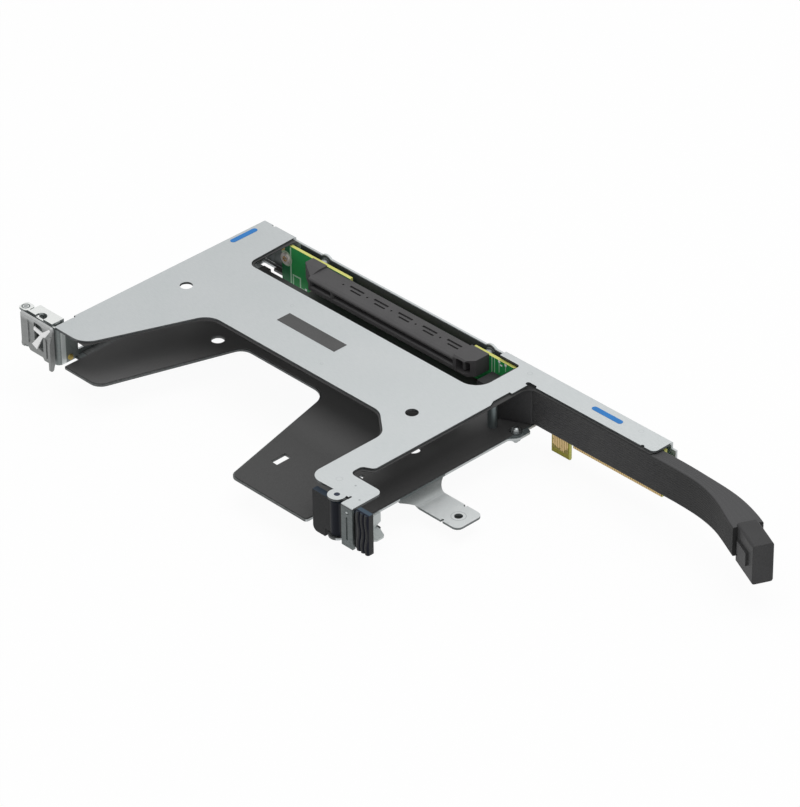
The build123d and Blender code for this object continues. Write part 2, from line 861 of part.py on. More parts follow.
# Guide stud: domed head on a washer over the lower plate, and a collar under it
with BuildPart() as guide_stud:
    with BuildSketch(level(lower_film_top)):
        with Locations(guide_at):
            Circle(guide_washer)
    extrude(amount=0.3)
    with BuildSketch(level(lower_film_top)):
        with Locations(guide_at):
            Circle(guide_radius)
    extrude(amount=1.0)
    with BuildSketch(level(lower_film_top + 1.0)):
        with Locations(guide_at):
            Circle(guide_radius)
    extrude(amount=0.6, taper=35)
    with BuildSketch(level(lower_film_top + 1.6)):
        with Locations(guide_at):
            Circle(guide_radius - 0.42)
    extrude(amount=0.35, taper=62)
    with BuildSketch(level(lower_film_top)):
        with Locations(guide_at):
            Circle(guide_shank)
    extrude(amount=-film - sheet)
    with BuildSketch(level(lower_top - sheet)):
        with Locations(guide_at):
            Circle(guide_radius)
    extrude(amount=-guide_reach + 1.2)
    with BuildSketch(level(lower_top - sheet - guide_reach + 1.2)):
        with Locations(guide_at):
            Circle(guide_shank)
    extrude(amount=-1.2, taper=20)
save(guide_stud, "guide_stud")


# Card-end latch: pad, barrel and ribbed grip in one moulding
latch_floor = lower_film_top + latch_play
pad_back = pad_front + pad_thickness
with BuildPart() as card_latch:
    with BuildSketch(level(latch_floor)):
        with Locations(latch_pin_at):
            Circle(latch_barrel)
        with Locations(((pad_left + latch_pin_x) / 2, (pad_front + pad_back) / 2)):
            Rectangle(latch_pin_x - pad_left, pad_thickness)
        with Locations(((latch_pin_x + nose_right + 1.0) / 2, strip_y + latch_play + 1.05)):
            Rectangle(nose_right + 1.0 - latch_pin_x, 2.1)
        with Locations((nose_right + 1.0 + grip_web, strip_y + latch_play / 2 + 0.9)):
            Rectangle(2 * grip_web, latch_play + 2.4)
    extrude(amount=pad_top - latch_floor)
    with BuildSketch(along(pad_back)):
        with Locations(((pad_left + pad_notch_left) / 2, (latch_floor + pad_bottom) / 2)):
            Rectangle(pad_notch_left - pad_left, latch_floor - pad_bottom)
    extrude(amount=pad_thickness)
    fillet(card_latch.edges().filter_by(Axis.Y).group_by(Axis.X)[0].group_by(Axis.Z)[0], 2.5)
    # The grip stands proud of the strip; its face is a run of soft waves
    ribs = round((grip_right - grip_left) / rib_pitch)
    step = (grip_right - grip_left) / ribs
    with BuildSketch(level(grip_bottom)):
        with BuildLine():
            for i in range(ribs):
                start = grip_left + i * step
                ThreePointArc(
                    (start, grip_front + rib_depth),
                    (start + step / 2, grip_front),
                    (start + step, grip_front + rib_depth),
                )
            Polyline(
                (grip_right, grip_front + rib_depth),
                (grip_right, grip_back),
                (grip_left, grip_back),
                (grip_left, grip_front + rib_depth),
            )
        make_face()
    extrude(amount=grip_top - grip_bottom)
    with BuildSketch(level(latch_floor)):
        with Locations(latch_pin_at):
            Circle(latch_pin / 2 + latch_clearance)
    extrude(amount=pad_top - latch_floor, mode=Mode.SUBTRACT)
save(card_latch, "card_latch")

with BuildPart() as card_latch_pin:
    with BuildSketch(level(lower_top - sheet)):
        with Locations(latch_pin_at):
            Circle(latch_pin / 2)
    extrude(amount=cage_height)
    with BuildSketch(level(lower_top - sheet)):
        with Locations(latch_pin_at):
            Circle(latch_pin / 2 + 0.8)
    extrude(amount=-0.5)
save(card_latch_pin, "card_latch_pin")


# Bracket of the rear latch: a leaf on the rear wall, a ledge for the card bracket's tab and two pin ears
leaf_top = -sheet - latch_play
ear_floor = -gate_height - sheet
ledge_back = ledge_y + sheet
with BuildPart() as rear_latch_bracket:
    with BuildSketch(level(-cage_height)):
        with BuildLine():
            FilletPolyline(
                (sheet, leaf_edge + 0.4),
                (sheet, ledge_back),
                (ledge_left, ledge_back),
                radius=[bend + 0.8],
            )
            offset(amount=sheet, side=Side.LEFT)
        make_face()
    extrude(amount=cage_height + leaf_top)
    with BuildSketch(level(ear_floor)):
        with Locations(((ledge_left - 5.0) / 2, ledge_y)):
            Rectangle(1.0 - ledge_left, 4.0)
    extrude(amount=-cage_height - ear_floor, mode=Mode.SUBTRACT)
    # Shelf folded back from the ledge's top and down again, with a round notch in it
    box_between((ledge_left, -1.0), (ledge_y, ledge_back), (leaf_top - 0.1, 0))
    box_between((ledge_left + 1.0, -1.0), (ledge_y, shelf_back), (-sheet, 0))
    box_between((ledge_left + 1.0, -1.0), (shelf_back - sheet, shelf_back), (-shelf_drop, -sheet))
    with BuildSketch(level(0)):
        with Locations((notch_x, ledge_back)):
            Circle(notch_radius)
    extrude(amount=-sheet, mode=Mode.SUBTRACT)
    # Ears that hold the pin
    for ear_z in (-sheet, ear_floor):
        with BuildSketch(level(ear_z)):
            with Locations((gate_pin_x + 0.4, gate_pin_y + 0.2)):
                RectangleRounded(ear_size, ear_size, 1.6)
            with Locations(((gate_pin_x + ledge_left + 1.5) / 2, ledge_y + 0.6)):
                Rectangle(ledge_left + 1.5 - gate_pin_x, 1.2)
        extrude(amount=sheet)
    with BuildSketch(level(0)):
        with Locations(gate_pin_at):
            Circle(gate_pin / 2)
    extrude(amount=ear_floor, mode=Mode.SUBTRACT)
    with BuildSketch(across(sheet)):
        with Locations(*leaf_rivets_at):
            Circle(rivet_radius)
    extrude(amount=sheet, mode=Mode.SUBTRACT)
save(rear_latch_bracket, "rear_latch_bracket")

with BuildPart() as rear_rivets:
    with BuildSketch(across(2 * sheet)):
        with Locations(*leaf_rivets_at):
            Circle(rivet_head - 0.6)
    extrude(amount=rivet_height, taper=20)
    with BuildSketch(across(0)):
        with Locations(*leaf_rivets_at):
            Circle(rivet_radius)
    extrude(amount=2 * sheet)
save(rear_rivets, "rear_rivets")

with BuildPart() as rear_latch_pin:
    with BuildSketch(level(ear_floor)):
        with Locations(gate_pin_at):
            Circle(gate_pin / 2)
    extrude(amount=-ear_floor)
    with BuildSketch(level(ear_floor)):
        with Locations(gate_pin_at):
            Circle(gate_pin / 2 + 0.6)
    extrude(amount=-0.5)
save(rear_latch_pin, "rear_latch_pin")


# Rear latch: a pressed gate that swings out on the pin, with a window, stiffening ribs and a thumb blade
gate_back = gate_front + gate_sheet
gate_low = ear_floor + sheet + latch_play
barrel_top = -sheet - latch_play
with BuildPart() as rear_latch:
    with BuildSketch(along(gate_back)):
        with BuildLine():
            FilletPolyline(
                (gate_flat, gate_top),
                (gate_end, gate_top),
                (gate_end, gate_foot),
                (-4.0, gate_foot),
                (-5.0, gate_hem),
                (-13.0, gate_hem),
                (-14.4, gate_knee),
                (gate_flat, gate_knee),
                radius=[0.3, 1.2, 0.6, 0.4, 0.4, 0.6, 0.6, 0.3],
                close=True,
            )
        make_face()
        with BuildLine():
            FilletPolyline(
                (window_rear, -1.4),
                (window_front, -2.0),
                (window_front, -14.6),
                (window_rear, -12.6),
                radius=[0.5, 1.6, 0.5, 0.5],
                close=True,
            )
        make_face(mode=Mode.SUBTRACT)
    extrude(amount=gate_sheet)
    with BuildSketch(level(gate_low)):
        with Locations(gate_pin_at):
            Circle(gate_barrel)
        # Curl of the sheet from the barrel to the flat
        with BuildLine():
            Polyline(
                (gate_pin_x - gate_barrel + 0.1, gate_pin_y - 0.6),
                (gate_flat, gate_front),
                (gate_flat + 1.6, gate_front),
                (gate_flat + 1.6, gate_back),
                (gate_pin_x + 0.9, gate_pin_y - 1.6),
                close=True,
            )
        make_face()
    extrude(amount=barrel_top - gate_low)
    with BuildSketch(level(gate_low)):
        with Locations(gate_pin_at):
            Circle(gate_pin / 2 + latch_clearance)
    extrude(amount=barrel_top - gate_low, mode=Mode.SUBTRACT)
    # Pressed ribs either side of the window
    with BuildSketch(along(gate_front)):
        with Locations((-2.6, -11.8)):
            SlotOverall(9.6, 1.1, rotation=90)
        with Locations((-0.4, -12.4)):
            SlotOverall(9.0, 0.9, rotation=90)
        with Locations((-14.0, -8.0)):
            SlotOverall(11.0, 1.5, rotation=90)
    extrude(amount=0.5)
    # Thumb blade folded out at the free end
    with BuildSketch(across(gate_end - gate_sheet)):
        with BuildLine():
            FilletPolyline(
                (gate_back, -4.0),
                (gate_front - 0.6, -4.6),
                (gate_front - 1.4, -8.0),
                (gate_front - 1.4, blade_foot),
                (gate_front + 0.2, blade_foot),
                (gate_back, gate_foot + 0.7),
                radius=[0, 0.5, 1.5, 0.6, 0.6, 0],
                close=True,
            )
        make_face()
    extrude(amount=gate_sheet)
save(rear_latch, "rear_latch")

# Bright strip clipped across the gate's window, with a short arm
with BuildPart() as rear_latch_strip:
    with BuildSketch(along(gate_front)):
        with BuildLine():
            Polyline(
                (-11.0, -12.6), (-8.0, -14.0), (-3.9, -6.4), (-2.0, -5.6), (0.9, -1.6), (0.1, -1.0), (-4.0, -4.2), close=True
            )
        make_face()
        with BuildLine():
            Polyline((-9.2, -3.4), (-9.4, -5.0), (-4.6, -6.2), (-4.0, -4.4), close=True)
        make_face()
    extrude(amount=0.6)
save(rear_latch_strip, "rear_latch_strip")


# Blank label field and the two touch marks, printed on the top plate
with BuildPart() as label_field:
    box_between((label_left, label_right), (label_near, label_far), (0, ink))
save(label_field, "label_field")

with BuildPart() as touch_mark_rear:
    with BuildSketch(level(0)):
        with Locations((rear_mark_left + mark_width / 2, (rear_mark_near + rear_mark_far) / 2)):
            SlotOverall(rear_mark_far - rear_mark_near, mark_width, rotation=90)
    extrude(amount=ink)
save(touch_mark_rear, "touch_mark_rear")

with BuildPart() as touch_mark_rail:
    with BuildSketch(level(0)):
        with Locations(((rail_mark_left + rail_mark_right) / 2, rail_mark_near + mark_width / 2)):
            SlotOverall(rail_mark_right - rail_mark_left, mark_width)
    extrude(amount=ink)
save(touch_mark_rail, "touch_mark_rail")


# Right-angle plug on the board that the cable bundle leaves
with BuildPart() as board_plug:
    with BuildSketch(level(cable_mid_z - plug_height / 2)):
        with BuildLine():
            FilletPolyline(
                (plug_left, board_face),
                (plug_left, board_face - plug_depth),
                (plug_right, board_face - plug_depth + plug_slope),
                (plug_right, board_face),
                radius=[0, 1.2, 0.8, 0],
                close=True,
            )
        make_face()
    extrude(amount=plug_height)
    # Low tail under the end of the card slot
    box_between(
        (plug_tail_left, plug_left + 1.0),
        (board_face - plug_tail_depth, board_face),
        (cable_mid_z - plug_height / 2, plug_tail_top),
    )
save(board_plug, "board_plug")


# Cable bundle: flat wires stacked side by side, along the rail and out past its end
cable_points = [
    (plug_right - plug_seat, cable_y),
    (200.0, cable_y - 0.1),
    (240.0, cable_y + 0.05),
    (262.0, -8.7),
    (277.0, -10.8),
    (289.0, -14.6),
    (300.0, -19.8),
]


def arc_radii(points):
    """The largest tangent arc that each corner's two runs allow."""
    radii = []
    for before, here, after in zip(points, points[1:], points[2:]):
        run_in = Vector(*here) - Vector(*before)
        run_out = Vector(*after) - Vector(*here)
        turn = radians(run_in.get_angle(run_out))
        radii.append(0.45 * min(run_in.length, run_out.length) / tan(turn / 2))
    return radii


cable_radii = arc_radii(cable_points)
with BuildPart() as cable:
    with BuildLine(level(cable_mid_z)) as cable_line:
        FilletPolyline(*cable_points, radius=cable_radii)
    with BuildSketch(Plane(origin=cable_line.line @ 0, x_dir=(0, 0, 1), z_dir=cable_line.line % 0)):
        RectangleRounded(cable_wide, cable_thick, cable_corner)
    sweep(path=cable_line.line)
save(cable, "cable")
cable_length = sum(edge.length for edge in cable_line.edges())
cable_section = cable_wide * cable_thick - (4 - pi) * cable_corner**2
print("cable arc radii", [round(r) for r in cable_radii], "length", round(cable_length, 1))
print("cable volume over section times length", round(cable.part.volume / cable_section / cable_length, 4))

# Plug at the cable's far end
cable_end = Plane(origin=cable_line.line @ 1, x_dir=(0, 0, 1), z_dir=cable_line.line % 1)
with BuildPart() as far_plug:
    with BuildSketch(cable_end.offset(-plug_seat)):
        RectangleRounded(far_plug_wide, far_plug_thick, 1.2)
    extrude(amount=far_plug_length)
    fillet(far_plug.faces().sort_by(Axis.X)[-1].edges(), 0.5)
    # Latch thumb on the plug's outer side
    with BuildSketch(cable_end.offset(2.0)):
        with Locations((0, far_plug_thick / 2 + 0.4)):
            Rectangle(6.0, 1.2)
    extrude(amount=9.0)
save(far_plug, "far_plug")
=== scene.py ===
# %% [markdown]
# # Server riser
# A server riser is a folded steel cage. It holds one expansion card flat over the main board of a low
# server. Its own circuit board stands on edge along the back, under the rail, and carries the card slot.
# The solids come from the CAD frame at their real size. This script gives them their finishes, adds the
# small pieces and the fine detail that they lack, and sets up the light and the camera.

# %% Load the frame
import math

import bmesh
import bpy
from mathutils import Matrix, Vector


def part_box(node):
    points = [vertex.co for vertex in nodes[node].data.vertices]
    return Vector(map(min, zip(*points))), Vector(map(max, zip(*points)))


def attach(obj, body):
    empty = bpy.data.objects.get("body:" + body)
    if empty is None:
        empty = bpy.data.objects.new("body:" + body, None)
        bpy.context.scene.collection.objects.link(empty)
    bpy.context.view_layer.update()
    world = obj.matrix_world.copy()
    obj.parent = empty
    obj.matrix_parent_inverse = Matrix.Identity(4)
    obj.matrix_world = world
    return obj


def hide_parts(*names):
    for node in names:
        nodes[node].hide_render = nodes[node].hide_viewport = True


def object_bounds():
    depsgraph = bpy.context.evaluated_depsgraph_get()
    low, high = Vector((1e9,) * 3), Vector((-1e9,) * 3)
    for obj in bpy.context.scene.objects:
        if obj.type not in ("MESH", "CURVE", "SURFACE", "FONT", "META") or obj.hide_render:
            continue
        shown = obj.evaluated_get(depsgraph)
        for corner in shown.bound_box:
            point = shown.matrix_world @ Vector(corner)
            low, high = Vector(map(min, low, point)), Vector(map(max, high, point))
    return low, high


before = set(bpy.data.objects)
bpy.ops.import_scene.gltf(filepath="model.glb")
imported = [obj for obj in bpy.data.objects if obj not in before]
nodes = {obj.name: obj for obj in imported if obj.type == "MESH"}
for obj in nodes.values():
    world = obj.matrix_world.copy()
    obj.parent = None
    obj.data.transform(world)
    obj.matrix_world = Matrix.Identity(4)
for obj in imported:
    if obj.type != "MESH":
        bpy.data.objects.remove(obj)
cad_low, cad_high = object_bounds()
MM = 0.001

# %% [markdown]
# ## Where plan sizes are measured from
# The riser is easiest to think of from the cage's outer corner: the rear end, the board side and the top
# face. X runs to the server's front, Y is negative towards the open card side and Z is negative downwards.
# `at` turns such a place, in millimetres, into a point of the frame, in metres. The label lies on the top
# face, so its underside gives that face's height.

# %% The corner of the cage
plate_low, plate_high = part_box("top_plate")
top_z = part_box("label_field")[0].z
corner = Vector((plate_low.x, plate_high.y, top_z))


def at(x, y, z):
    """A point given in millimetres from the cage's corner, in metres in the frame."""
    return corner + Vector((x, y, z)) * MM


print("corner", [round(v, 4) for v in corner])

# %% [markdown]
# ## Camera
# The photograph was taken with a long lens from the front right, looking about a third of the way down.
# The direction and the distance come from fitting the straight edges of the plates, so the perspective
# is nearly that of a parallel view. The place is in metres, and the lens in millimetres.

# %% Camera
CAMERA_PLACE = Vector((1.15119, -1.12746, 1.1210))
CAMERA_AZIMUTH = math.radians(46.41)
CAMERA_ELEVATION = math.radians(33.48)
CAMERA_ROLL = math.radians(0.71)
LENS = 218.59

back = Vector(
    (
        math.sin(CAMERA_AZIMUTH) * math.cos(CAMERA_ELEVATION),
        -math.cos(CAMERA_AZIMUTH) * math.cos(CAMERA_ELEVATION),
        math.sin(CAMERA_ELEVATION),
    )
)
right = (-back).cross(Vector((0, 0, 1))).normalized()
down = (-back).cross(right)
rolled_right = right * math.cos(CAMERA_ROLL) + down * math.sin(CAMERA_ROLL)
rolled_up = right * math.sin(CAMERA_ROLL) - down * math.cos(CAMERA_ROLL)
camera_data = bpy.data.cameras.new("camera")
camera_data.lens = LENS
camera_data.sensor_width = 36
camera_data.clip_start = 0.05
camera_data.clip_end = 20
camera = bpy.data.objects.new("camera", camera_data)
camera.matrix_world = Matrix(
    (
        (rolled_right.x, rolled_up.x, back.x, CAMERA_PLACE.x),
        (rolled_right.y, rolled_up.y, back.y, CAMERA_PLACE.y),
        (rolled_right.z, rolled_up.z, back.z, CAMERA_PLACE.z),
        (0, 0, 0, 1),
    )
)
bpy.context.collection.objects.link(camera)
bpy.context.scene.camera = camera
bpy.context.scene.view_settings.view_transform = "Standard"
print("camera", round(CAMERA_PLACE.length, 2), "m from the foot's screw hole")

# %% [markdown]
# ## Helpers for materials
# Colours are written as the hex values that a picture editor shows. Blender's shaders work in linear
# light, so one function turns them. Another adds a node, sets its options and fills or links its inputs,
# which keeps each material short enough to read.


# %% Colour, node and material
def linear(colour, alpha=1.0):
    """An sRGB hex colour as linear RGBA."""
    channels = []
    for i in (1, 3, 5):
        value = int(colour[i : i + 2], 16) / 255
        value = value / 12.92 if value <= 0.04045 else ((value + 0.055) / 1.055) ** 2.4
        channels.append(value)
    return (*channels, alpha)


def node(tree, kind, inputs=None, **settings):
    """Adds a node to tree, sets its options, and fills or links its inputs."""
    made = tree.nodes.new(kind)
    for key, value in settings.items():
        setattr(made, key, value)
    for key, value in (inputs or {}).items():
        if isinstance(value, bpy.types.NodeSocket):
            tree.links.new(value, made.inputs[key])
        else:
            made.inputs[key].default_value = value
    return made


def material(name, **settings):
    """A new material with one shader, whose settings are filled in. Returns it, its tree and the shader."""
    made = bpy.data.materials.new(name)
    made.use_nodes = True
    tree = made.node_tree
    shader = tree.nodes["Principled BSDF"]
    for key, value in settings.items():
        shader.inputs[key.replace("_", " ")].default_value = value
    return made, tree, shader


# %% [markdown]
# A finish is drawn from the place on the surface, in the same millimetres as the plan, and from the way
# a face looks. Both belong to the piece, so its marks stay on it when it moves.


# %% Place and direction on the surface
def plan_place(tree):
    """The point on the surface in millimetres from the cage's corner, as vector and as X, Y and Z."""
    where = node(tree, "ShaderNodeTexCoord")
    moved = node(
        tree, "ShaderNodeVectorMath", {0: where.outputs["Object"], 1: tuple(corner)}, operation="SUBTRACT"
    )
    scaled = node(
        tree, "ShaderNodeVectorMath", {0: moved.outputs[0], 1: (1 / MM, 1 / MM, 1 / MM)}, operation="MULTIPLY"
    )
    place = scaled.outputs[0]
    split = node(tree, "ShaderNodeSeparateXYZ", {0: place})
    return place, split.outputs[0], split.outputs[1], split.outputs[2]


def facing(tree):
    """The way the surface looks, as X, Y and Z from -1 to 1, in the piece's own axes."""
    where = node(tree, "ShaderNodeTexCoord")
    split = node(tree, "ShaderNodeSeparateXYZ", {0: where.outputs["Normal"]})
    return split.outputs[0], split.outputs[1], split.outputs[2]


# %% [markdown]
# No real surface is quite even. Soft noise of a known size in millimetres shifts the tone a little,
# varies the roughness, and raises a very shallow relief.


# %% Noise, blends and relief
def speckle(tree, place, size, detail=2.0, stretch=(1, 1, 1)):
    """Soft noise whose blotches are about size millimetres across, stretched along the axes."""
    scaled = node(
        tree,
        "ShaderNodeVectorMath",
        {0: place, 1: tuple(1 / (size * s) for s in stretch)},
        operation="MULTIPLY",
    )
    return node(
        tree,
        "ShaderNodeTexNoise",
        {"Vector": scaled.outputs["Vector"], "Scale": 1.0, "Detail": detail},
    ).outputs["Fac"]


def between(tree, factor, low, high):
    """A value that runs from low to high as factor runs over the middle of its range."""
    return node(
        tree,
        "ShaderNodeMapRange",
        {"Value": factor, "From Min": 0.3, "From Max": 0.7, "To Min": low, "To Max": high},
    ).outputs["Result"]


def blend_colours(tree, factor, first, second):
    """A mix of two colours, each a hex value or a socket."""
    mixer = node(tree, "ShaderNodeMix", {"Factor": factor}, data_type="RGBA")
    for key, value in (("A", first), ("B", second)):
        socket = next(s for s in mixer.inputs if s.name == key and s.type == "RGBA")
        if isinstance(value, str):
            socket.default_value = linear(value)
        else:
            tree.links.new(value, socket)
    return next(s for s in mixer.outputs if s.type == "RGBA")


def bumped(tree, shader, height, depth):
    """Gives the shader a relief of depth millimetres."""
    bump = node(tree, "ShaderNodeBump", {"Height": height, "Strength": 1.0, "Distance": depth * MM})
    tree.links.new(bump.outputs["Normal"], shader.inputs["Normal"])


# %% [markdown]
# ## Masks and marks
# A mark is a colour laid over the finish where a mask is one. A mask compares the place, or the way a
# face looks, with a limit. The product of masks keeps what they share, and the largest keeps any of them.
# A ramp gives a mark a soft end, and a share below one lets the finish show through it.


# %% Masks from limits
def above(tree, value, limit):
    """One where value is over limit, else zero."""
    return node(tree, "ShaderNodeMath", {0: value, 1: limit}, operation="GREATER_THAN").outputs[0]


def below(tree, value, limit):
    """One where value is under limit, else zero."""
    return node(tree, "ShaderNodeMath", {0: value, 1: limit}, operation="LESS_THAN").outputs[0]


def both(tree, first, *others):
    """The product of masks and shares: one where all of them are one."""
    result = first
    for other in others:
        result = node(tree, "ShaderNodeMath", {0: result, 1: other}, operation="MULTIPLY").outputs[0]
    return result


def either(tree, first, *others):
    """The largest of masks and shares: one where any of them is one."""
    result = first
    for other in others:
        result = node(tree, "ShaderNodeMath", {0: result, 1: other}, operation="MAXIMUM").outputs[0]
    return result


def inside(tree, value, low, high):
    """One where value lies from low to high."""
    return both(tree, above(tree, value, low), below(tree, value, high))


def ramp(tree, value, start, end):
    """Runs from zero at start to one at end, and stays there."""
    return node(
        tree, "ShaderNodeMapRange", {"Value": value, "From Min": start, "From Max": end}
    ).outputs["Result"]


def distance(tree, first, second, centre):
    """How far the pair of coordinates is from centre."""
    pair = node(tree, "ShaderNodeCombineXYZ", {0: first, 1: second}).outputs[0]
    return node(
        tree, "ShaderNodeVectorMath", {0: pair, 1: (*centre, 0.0)}, operation="DISTANCE"
    ).outputs["Value"]


# %% Faces and painted marks
LEVEL_FROM = 0.5


def level(tree, up):
    """One on faces that look up."""
    return above(tree, up, LEVEL_FROM)


def upright(tree, up):
    """One on faces that stand upright."""
    return inside(tree, up, -LEVEL_FROM, LEVEL_FROM)


def painted(tree, tone, mask, colour, share=1.0):
    """The tone with colour laid over it where mask is one, as strongly as share says."""
    if share < 1.0:
        mask = both(tree, mask, share)
    return blend_colours(tree, mask, tone, colour)


# %% [markdown]
# ## Zinc-coated steel
# The cage is pressed from continuously galvanised sheet. The coating leaves a satin, slightly cool grey
# with a very fine grain and no visible spangle. Real zinc is a metal, but its dull skin scatters most of
# the light, so the material is only partly metallic and fairly rough. That keeps large flats even. The
# grain is 0.5 mm across and six times as long in the direction in which the sheet was rolled.


# %% Sheet steel
def sheet_steel(name, colour, shade, marks=None, metallic=0.45, roughness=0.5):
    """Zinc-coated sheet with a rolling grain along X. marks may change its tone from place to place."""
    made, tree, shader = material(name, Metallic=metallic, Roughness=roughness)
    place, x, y, z = plan_place(tree)
    grain = speckle(tree, place, size=0.5, detail=3.0, stretch=(6, 1, 1))
    grit = speckle(tree, place, size=0.35)
    cloud = speckle(tree, place, size=34.0, detail=1.0)
    tone = blend_colours(tree, between(tree, cloud, 0.0, 1.0), colour, shade)
    if marks:
        tone = marks(tree, tone, x, y, z)
    tone = blend_colours(tree, between(tree, grain, 0.0, 0.1), tone, "#ffffff")
    tone = blend_colours(tree, between(tree, grit, 0.1, 0.0), tone, "#6a7072")
    tree.links.new(tone, shader.inputs["Base Color"])
    tree.links.new(between(tree, grain, roughness - 0.06, roughness + 0.06), shader.inputs["Roughness"])
    bumped(tree, shader, grain, 0.004)
    return made


# %% [markdown]
# Each pressed piece has its own marks, at places in plan millimetres. On the top plate the sheared edges
# lie against the dark film and get painted shade, a dark line, and painted light makes the rail slightly
# paler towards the front. The strip at the nose is folded down out of the light and gets painted shade
# with upright streaks, the rear corner gets painted shade on its inner sides, and shallow press dimples
# get painted shade, as faint rings and dots.

# %% Marks on the top plate
SHEET = 1.0
CUT_EDGE_Z = -SHEET - 0.02
CUT_EDGE_Y = -1.6
PALER_FROM_X = 30.0
PALER_TO_X = 240.0
STRIP_X = 176.0
STRIP_Y = -117.2
STRIP_SHADES = ("#374040", "#5e6766")
STREAK_SPACING = 0.6283
WAVE_TURN = 20.0  # radians that the wave texture turns in one unit at scale 1
REAR_WALL_X = 3.0
BACK_WALL_Y = -1.3
BACK_WALL_X = 17.0
PRESS_DIMPLES = [
    ((166.0, -112.9), 1.5),
    ((58.8, -38.7), 0.9),
    ((226.9, -3.7), 1.2),
    ((165.5, -5.2), 1.2),
    ((100.0, -60.5), 0.8),
]
DIMPLE_RIM = 0.3
PRESS_DOTS = [(174.0, -111.6), (182.3, -117.4)]
DOT_RADIUS = 0.45


def strip_streaks(tree, x):
    """Upright streaks that change with X alone, as a colour."""
    along = node(tree, "ShaderNodeCombineXYZ", {0: x}).outputs[0]
    scale = 2 * math.pi / (WAVE_TURN * STREAK_SPACING)
    wave = node(tree, "ShaderNodeTexWave", {"Vector": along, "Scale": scale, "Distortion": 1.5})
    return blend_colours(tree, wave.outputs["Fac"], *STRIP_SHADES)


def top_plate_marks(tree, tone, x, y, z):
    """Painted light along the rail, and painted shade on the strip, walls, cut edges and dimples."""
    side_x, side_y, up = facing(tree)
    standing = upright(tree, up)
    flat = level(tree, up)
    # Painted light: the rail gets slightly paler towards the front.
    tone = painted(tree, tone, ramp(tree, x, PALER_FROM_X, PALER_TO_X), "#dfe4e4", 0.35)
    strip = both(tree, standing, below(tree, y, STRIP_Y), above(tree, x, STRIP_X))
    tone = painted(tree, tone, strip, strip_streaks(tree, x))
    rear_wall = both(tree, above(tree, side_x, 0.5), below(tree, x, REAR_WALL_X))
    back_wall = both(
        tree, below(tree, side_y, -0.5), above(tree, y, BACK_WALL_Y), below(tree, x, BACK_WALL_X)
    )
    walls = both(tree, standing, either(tree, rear_wall, back_wall))
    tone = painted(tree, tone, walls, "#707878")
    # Painted shade: the upright cut edges of the top plate are a dark line.
    edge = both(tree, standing, above(tree, z, CUT_EDGE_Z), below(tree, y, CUT_EDGE_Y))
    tone = painted(tree, tone, edge, "#34383a")
    # Painted shade: faint darker rings and dots where the press left shallow dimples.
    for centre, radius in PRESS_DIMPLES:
        ring = inside(tree, distance(tree, x, y, centre), radius - DIMPLE_RIM, radius)
        tone = painted(tree, tone, both(tree, ring, flat), "#7f8688", 0.22)
    for centre in PRESS_DOTS:
        dot = below(tree, distance(tree, x, y, centre), DOT_RADIUS)
        tone = painted(tree, tone, both(tree, dot, flat), "#6d7476", 0.6)
    return tone


# %% [markdown]
# On the lower plate the level steel that the film leaves free gets painted shade and reads as a dark hem,
# and so do the cut edges towards the card side. The lug at the guide stud and the upright edge behind the
# foot get a paler painted shade, and the corner at the window is left bare of it and gets painted light.

# %% Marks on the lower plate
LUG_X = 169.5
LUG_Y = -40.0
HEM_Y = -9.0
LIT_CORNER_X = 19.0
CUT_SIDE_X = 140.0
CUT_Y = -4.0
CUT_HEIGHTS = (-19.7, -18.5)
BEHIND_FOOT_X = 170.0
BEHIND_FOOT_YS = (-87.0, -61.8)


def lower_plate_marks(tree, tone, x, y, z):
    """Painted shade on a hem by the film, cut edges and the lug, and painted light on one corner."""
    side_x, _, up = facing(tree)
    flat = level(tree, up)
    standing = upright(tree, up)
    by_film = either(tree, below(tree, x, LUG_X), below(tree, y, LUG_Y))
    hem = both(tree, flat, by_film, below(tree, y, HEM_Y))
    to_card = either(tree, below(tree, side_x, 0.55), below(tree, x, CUT_SIDE_X))
    cut = both(tree, standing, to_card, below(tree, y, CUT_Y), inside(tree, z, *CUT_HEIGHTS))
    # Painted shade: the hem and the cut edges towards the card side are dark.
    tone = painted(tree, tone, either(tree, hem, cut), "#404343")
    lug = both(tree, flat, above(tree, x, LUG_X), above(tree, y, LUG_Y))
    behind_foot = both(tree, standing, above(tree, x, BEHIND_FOOT_X), inside(tree, y, *BEHIND_FOOT_YS))
    # A paler painted shade on the lug at the guide stud and the edge behind the foot.
    tone = painted(tree, tone, either(tree, lug, behind_foot), "#525c5d")
    # Painted light: the corner at the window is a little paler than the sheet.
    bare = both(tree, flat, below(tree, x, LIT_CORNER_X), above(tree, y, HEM_Y))
    return painted(tree, tone, bare, "#cfd4d5")


# %% [markdown]
# The foot's web steps down under the plate, where little light gets in, and gets painted shade. That shade
# grows towards the plate and fades out towards the screw hole. The light already leaves the level stretches
# darker, so they take less of it. The upright cut edges get painted shade too. A faint ring of painted shade
# round the hole marks the rim of the nut that is pressed in below.

# %% Marks on the foot
FOOT_HOLE = (192.0, -72.4)
WEB_HEIGHTS = (-24.6, -20.0)
WEB_FADE_XS = (180.0, 171.5)
QUITE_LEVEL = 0.97
FOOT_EDGE_X = 176.0
NUT_RIM = (2.9, 3.3)


